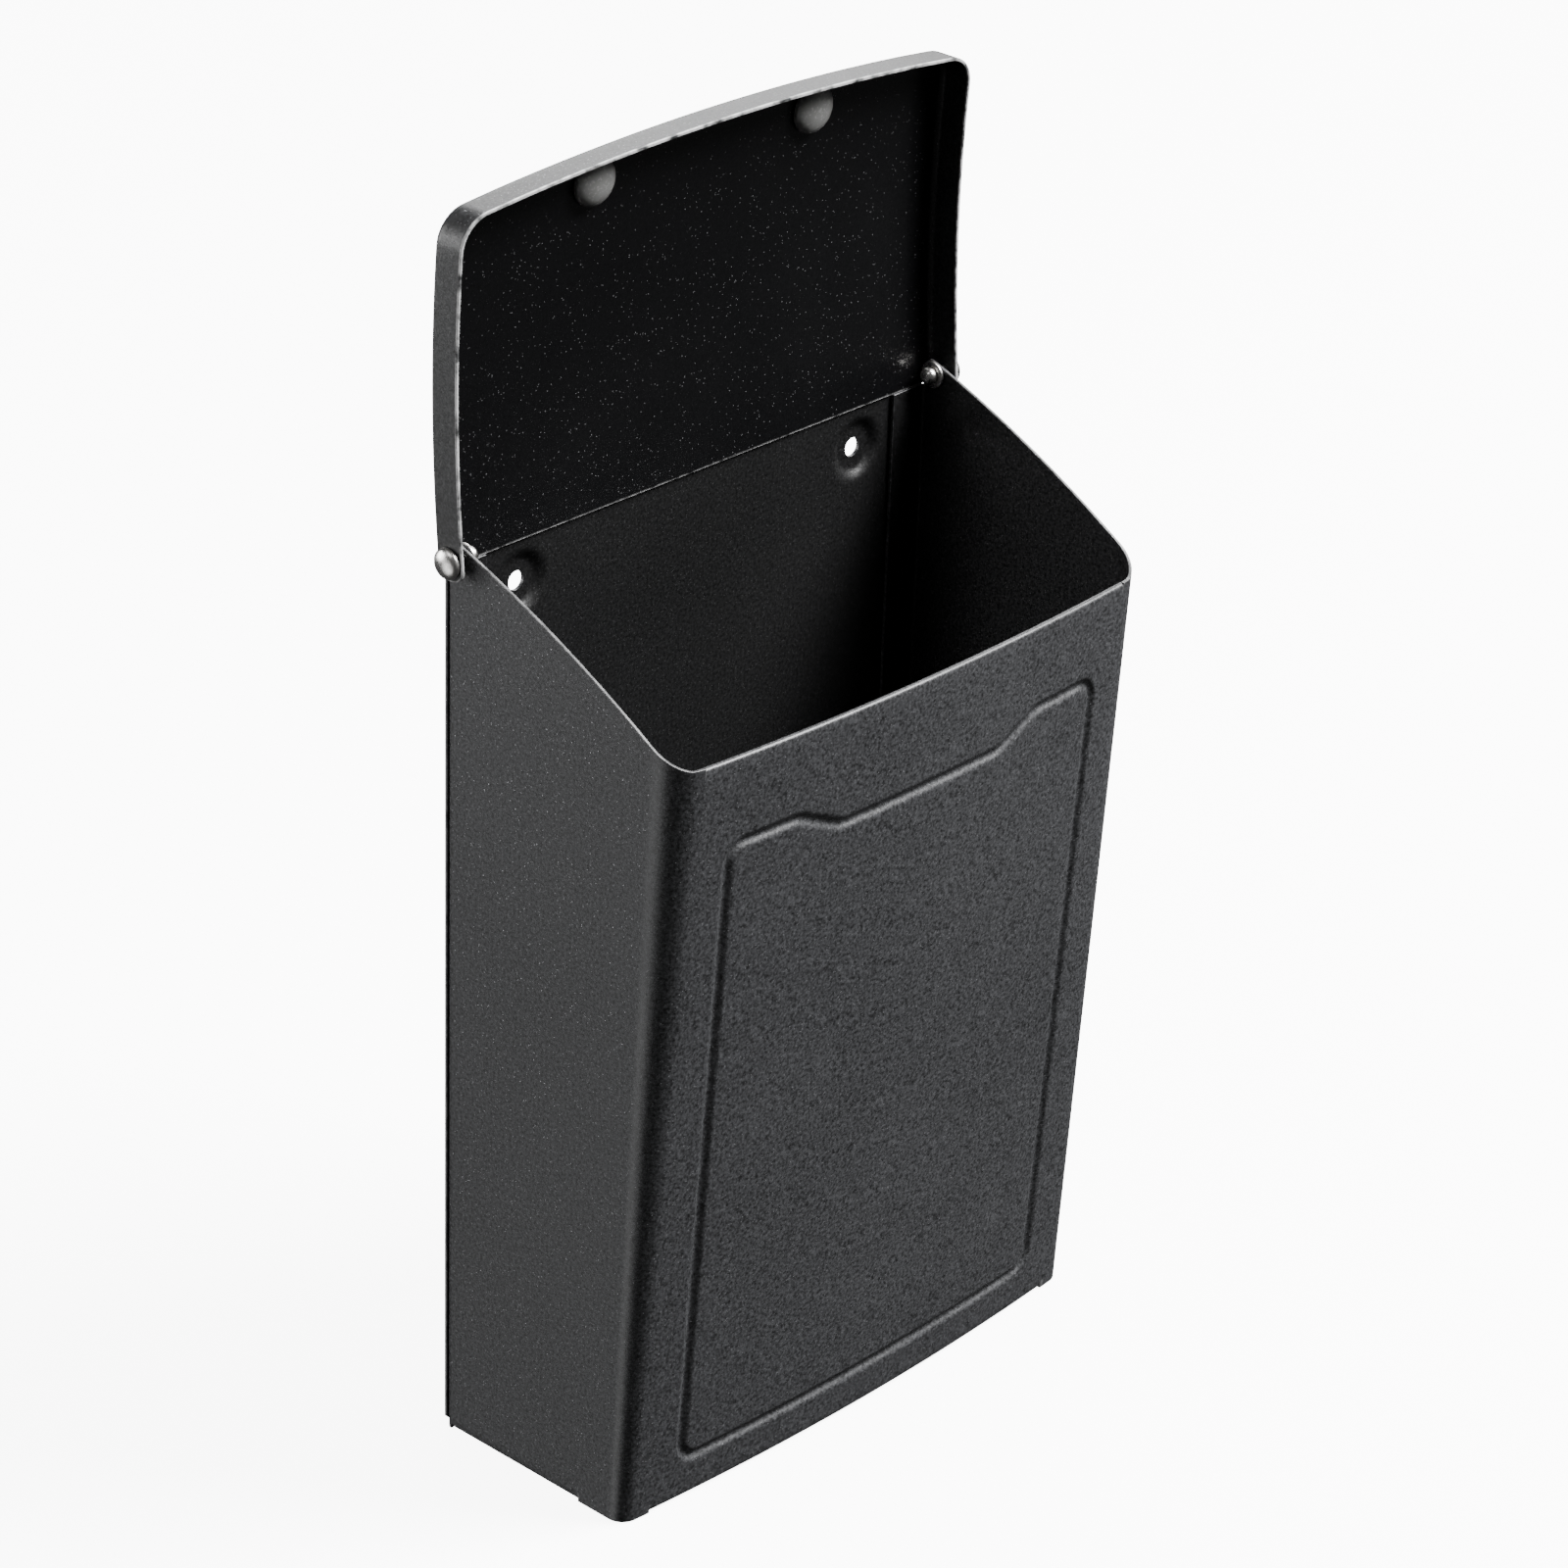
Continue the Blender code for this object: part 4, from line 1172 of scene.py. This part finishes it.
@dataclass
class HingeSet:
    """Rivet and washer of one hinge, turned about the hinge axis."""

    side: int
    shank: float = 1.65
    head: float = 4.0
    head_height: float = 2.3
    head_rim: float = 0.45
    head_round: float = 0.25
    peen: float = 2.3
    peen_length: float = 2.6
    peen_rim: float = 0.9
    peen_chamfer: float = 0.35
    washer: float = 3.6
    washer_hole: float = 1.8
    washer_thickness: float = 0.8
    washer_round: float = 0.2

    def rivet(self) -> Surface:
        """Domed head outside, shank, and a peened end inside, as one turned profile."""
        base = LidForm.half_width + PART_GAP
        inner = BoxForm.half_width - SHEET - self.washer_thickness - 2 * PART_GAP
        dome = np.radians(np.linspace(0.0, 90.0, 13))
        rim, soft, foot_rim, cut = self.head_rim, self.head_round, self.peen_rim, self.peen_chamfer
        head = np.stack([base + rim + (self.head_height - rim) * np.sin(dome), self.head * np.cos(dome)],
                        axis=-1)
        lip = arc((base + soft, self.head - soft), soft, 180.0, 90.0, 4)
        ball = np.stack([inner - foot_rim - (self.peen_length - foot_rim) * np.sin(dome),
                         self.peen * np.cos(dome)], axis=-1)
        foot = np.array([[inner, self.shank], [inner, self.peen - cut], [inner - cut, self.peen]])
        profile = np.concatenate([ball[::-1], foot[::-1], [[base, self.shank]], lip, head])
        profile[[0, -1], 1] = 0.0
        return turned(profile)

    def ring(self) -> Surface:
        """Washer with softly rounded outer corners, as a closed profile."""
        outer = BoxForm.half_width - SHEET - PART_GAP
        inner = outer - self.washer_thickness
        soft, hole = self.washer_round, self.washer_hole
        low = arc((inner + soft, self.washer - soft), soft, 180.0, 90.0, 4)
        high = arc((outer - soft, self.washer - soft), soft, 90.0, 0.0, 4)
        return turned(np.concatenate([[[inner, hole]], low, high, [[outer, hole]], [[inner, hole]]]))

    def placed(self, shape: Surface) -> Solid:
        """A turned shape on its own side, half a turn about Z for the left."""
        turn = np.array([self.side, self.side, 1.0])
        return closed(Surface(shape.points * turn, shape.faces))

    def build(self, steel: Material) -> list[Object]:
        """Make the rivet and the washer."""
        shapes = {"hinge_rivet": self.rivet(), "hinge_washer": self.ring()}
        return [Piece(f"{name}_{side_name(self.side)}_look", self.placed(shape), HINGE_ORIGIN, Body.BOX,
                      "rivet_steel", [steel]).build() for name, shape in shapes.items()]


@dataclass
class Bumper:
    """Soft dome that stops the lid on the hem, leaning with the lid's arch."""

    side: int
    form: LidForm
    radius: float = 6.35
    height: float = 3.5
    skirt: float = 0.9
    foot_round: float = 0.2
    across: float = 38.0
    reach: float = 82.0

    def surface(self) -> Surface:
        """Dome on a short skirt: a quarter ellipse turned about the axis."""
        rise = np.radians(np.linspace(0.0, 90.0, 19))
        skirt, soft = self.skirt, self.foot_round
        dome = np.stack([skirt + (self.height - skirt) * np.sin(rise), self.radius * np.cos(rise)], axis=-1)
        profile = np.concatenate([[[0.0, 0.0], [0.0, self.radius - soft], [soft, self.radius]], dome])
        profile[-1, 1] = 0.0
        return turned(profile)

    def build(self, rubber: Material) -> Object:
        """Make the bumper on the lid's inner face."""
        lean = math.asin((self.reach - self.form.arch_middle) / self.form.arch_radius)
        base = self.form.arch(np.array(self.reach), np.array(SHEET + PART_GAP))
        turn = Matrix.Rotation(lean, 3, "X") @ Matrix.Rotation(-math.pi / 2, 3, "Z")
        shape = closed(self.surface())
        place = [self.side * self.across, float(base), self.reach]
        shape.points = shape.points @ np.array(turn).T + place
        return Piece(f"lid_bumper_{side_name(self.side)}_look", shape, HINGE_ORIGIN, Body.LID,
                     "bumper_rubber", [rubber]).build()


# ---------------------------------------------------------------------------------------
# Stage


@dataclass(frozen=True)
class Lamp:
    """A soft rectangular studio light."""

    name: str
    place: Triple
    aim: Triple
    size: tuple[float, float]
    power: float

    def build(self) -> Object:
        """Hang the light and turn it to its aim."""
        data = bpy.data.lights.new(self.name, "AREA")
        data.shape = "RECTANGLE"
        data.size, data.size_y = self.size
        data.energy = self.power
        lamp = linked(self.name, data)
        lamp.location = self.place
        lamp.rotation_euler = (Vector(self.aim) - Vector(self.place)).to_track_quat("-Z", "Y").to_euler()
        lamp.visible_camera = False
        return lamp


@dataclass(frozen=True)
class Studio:
    """Pale floor, dim surroundings with a pale side, soft lights and the camera."""

    eye: Triple = (-0.86379, -0.81921, 0.62760)
    azimuth: float = -47.798
    elevation: float = 26.737
    roll: float = 1.909
    lens: float = 119.45
    floor_z: float = -0.1285
    dim: float = 0.06
    pale: float = 2.3
    pale_side: Triple = (-0.87, 0.22, -0.44)
    pale_edges: tuple[float, float] = (0.87, 0.99)
    sensor: float = 36.0
    clip: tuple[float, float] = (0.05, 50.0)
    floor_half: float = 6.0

    def floor(self) -> Object:
        """Flat pale floor, wide enough for every view."""
        line = np.linspace(-self.floor_half, self.floor_half, 3)
        y, x = np.meshgrid(line, line, indexing="ij")
        grid = Surface.grid(np.stack([x, y, np.full_like(x, self.floor_z)], axis=-1))
        mesh = bpy.data.meshes.new("studio_floor")
        mesh.from_pydata(grid.points.tolist(), [], grid.faces.tolist())
        mesh.materials.append(StudioFloor().build())
        item = linked("studio_floor", mesh)
        item.visible_glossy = item.visible_diffuse = False
        item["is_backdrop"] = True
        return item

    def world(self) -> None:
        """Dim surroundings that brighten smoothly towards one side."""
        graph = Graph(bpy.data.worlds.new("studio_air"))
        facing = graph.node("ShaderNodeTexCoord", {}, {}, "Generated")
        nearness = graph.node("ShaderNodeVectorMath", {"operation": "DOT_PRODUCT"},
                              {0: facing, 1: self.pale_side}, "Value")
        airs = [graph.node("ShaderNodeBackground", {}, {"Color": (1.0, 1.0, 1.0), "Strength": strength})
                for strength in (self.dim, self.pale)]
        mixed = graph.node("ShaderNodeMixShader", {},
                           {0: nearness.step(*self.pale_edges), 1: airs[0], 2: airs[1]})
        graph.feed(graph.tree.nodes["World Output"].inputs["Surface"], mixed)
        bpy.context.scene.world = graph.owner

    def camera(self) -> Object:
        """Camera from its azimuth, elevation and roll, with no shift."""
        turn, rise, roll = (math.radians(x) for x in (self.azimuth, self.elevation, self.roll))
        ahead = Vector((-math.sin(turn) * math.cos(rise), math.cos(turn) * math.cos(rise),
                        -math.sin(rise)))
        right = ahead.cross(Vector((0.0, 0.0, 1.0))).normalized()
        up = right.cross(ahead)
        tilted_right = math.cos(roll) * right + math.sin(roll) * up
        tilted_up = math.cos(roll) * up - math.sin(roll) * right
        turned_by = Matrix((tilted_right, tilted_up, -ahead)).transposed()
        data = bpy.data.cameras.new("studio_camera")
        data.lens, data.sensor_width = self.lens, self.sensor
        data.clip_start, data.clip_end = self.clip
        item = linked("studio_camera", data)
        item.matrix_world = Matrix.Translation(self.eye) @ turned_by.to_4x4()
        bpy.context.scene.camera = item
        return item

    def build(self) -> None:
        """Set the stage."""
        self.floor()
        self.world()
        self.camera()
        lamps = [
            Lamp("key_softbox", (1.25, -1.15, 1.9), (0.0, -0.04, 0.05), (1.2, 1.2), 330.0),
            Lamp("left_softbox", (-1.3, 0.1, 1.5), (0.0, -0.05, 0.1), (0.8, 0.8), 10.0),
            Lamp("rear_softbox", (-1.2, 1.5, 0.3), (0.0, -0.04, 0.0), (1.0, 1.0), 34.0),
            Lamp("back_softbox", (1.5, 1.4, 1.2), (0.0, 0.0, 0.15), (1.2, 1.2), 34.0),
        ]
        for lamp in lamps:
            lamp.build()


def corners(bounds: tuple[Vector, Vector]) -> list[list[float]]:
    """Bounds as plain lists."""
    return [list(corner) for corner in bounds]


def main() -> None:
    """Build the pieces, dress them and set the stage."""
    logging.basicConfig(level=logging.INFO, format="%(message)s")
    cad_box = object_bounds()
    form, lid = BoxForm(), LidForm()
    outer = PowderCoat("charcoal_powder_coat").build()
    # Painted shade: the lid's outside is a darker copy of the charcoal coat; its strong raw-edge lightening
    # is partly a worn coat, partly a painted highlight on the lid's lip.
    cover = PowderCoat("charcoal_powder_coat_lid", tone=(0.015, 0.0152, 0.016), edge_tone=(0.5, 0.5, 0.5),
                       fleck_share=0.10, edge_wear_and_highlight=0.9, coat=0.1).build()
    # Painted light: the box's inside is a lighter copy of the charcoal coat, standing in for light inside
    # the box; its painted shade darkens it towards the wall.
    inner = PowderCoat("charcoal_powder_coat_inside_painted_light_and_shade", tone=(0.055, 0.055, 0.057), roughness=0.38,
                       fleck_share=0.10, fleck_tone=(0.34, 0.34, 0.35), coat=0.35,
                       painted_shade_depth=0.036).build()
    # Painted shade: the inside of the lid is a near-black copy of the charcoal coat, glossier than the
    # rest.
    gloss = PowderCoat("black_powder_coat_inside_lid", tone=(0.0012, 0.0012, 0.0015), roughness=0.30,
                       fleck_tone=(0.24, 0.24, 0.25), fleck_share=0.04, grain=0.5, pebble=0.10, coat=0.3,
                       coat_roughness=0.16, fleck_tilt=0.4).build()
    FrontShell(form, lid).build([outer, inner])
    BackPanel().build([outer, inner])
    BottomPan(form).build([outer, inner])
    Lid(lid).build([cover, gloss])
    steel = ZincSteel("zinc_plated_steel").build()
    rubber = CloudyRubber("cloudy_grey_plastic").build()
    for side in SIDES:
        HingeSet(side).build(steel)
        Bumper(side, lid).build(rubber)
    Studio().build()
    {"cad": corners(cad_box), "visual": corners(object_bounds())}


if __name__ == "__main__":
    main()
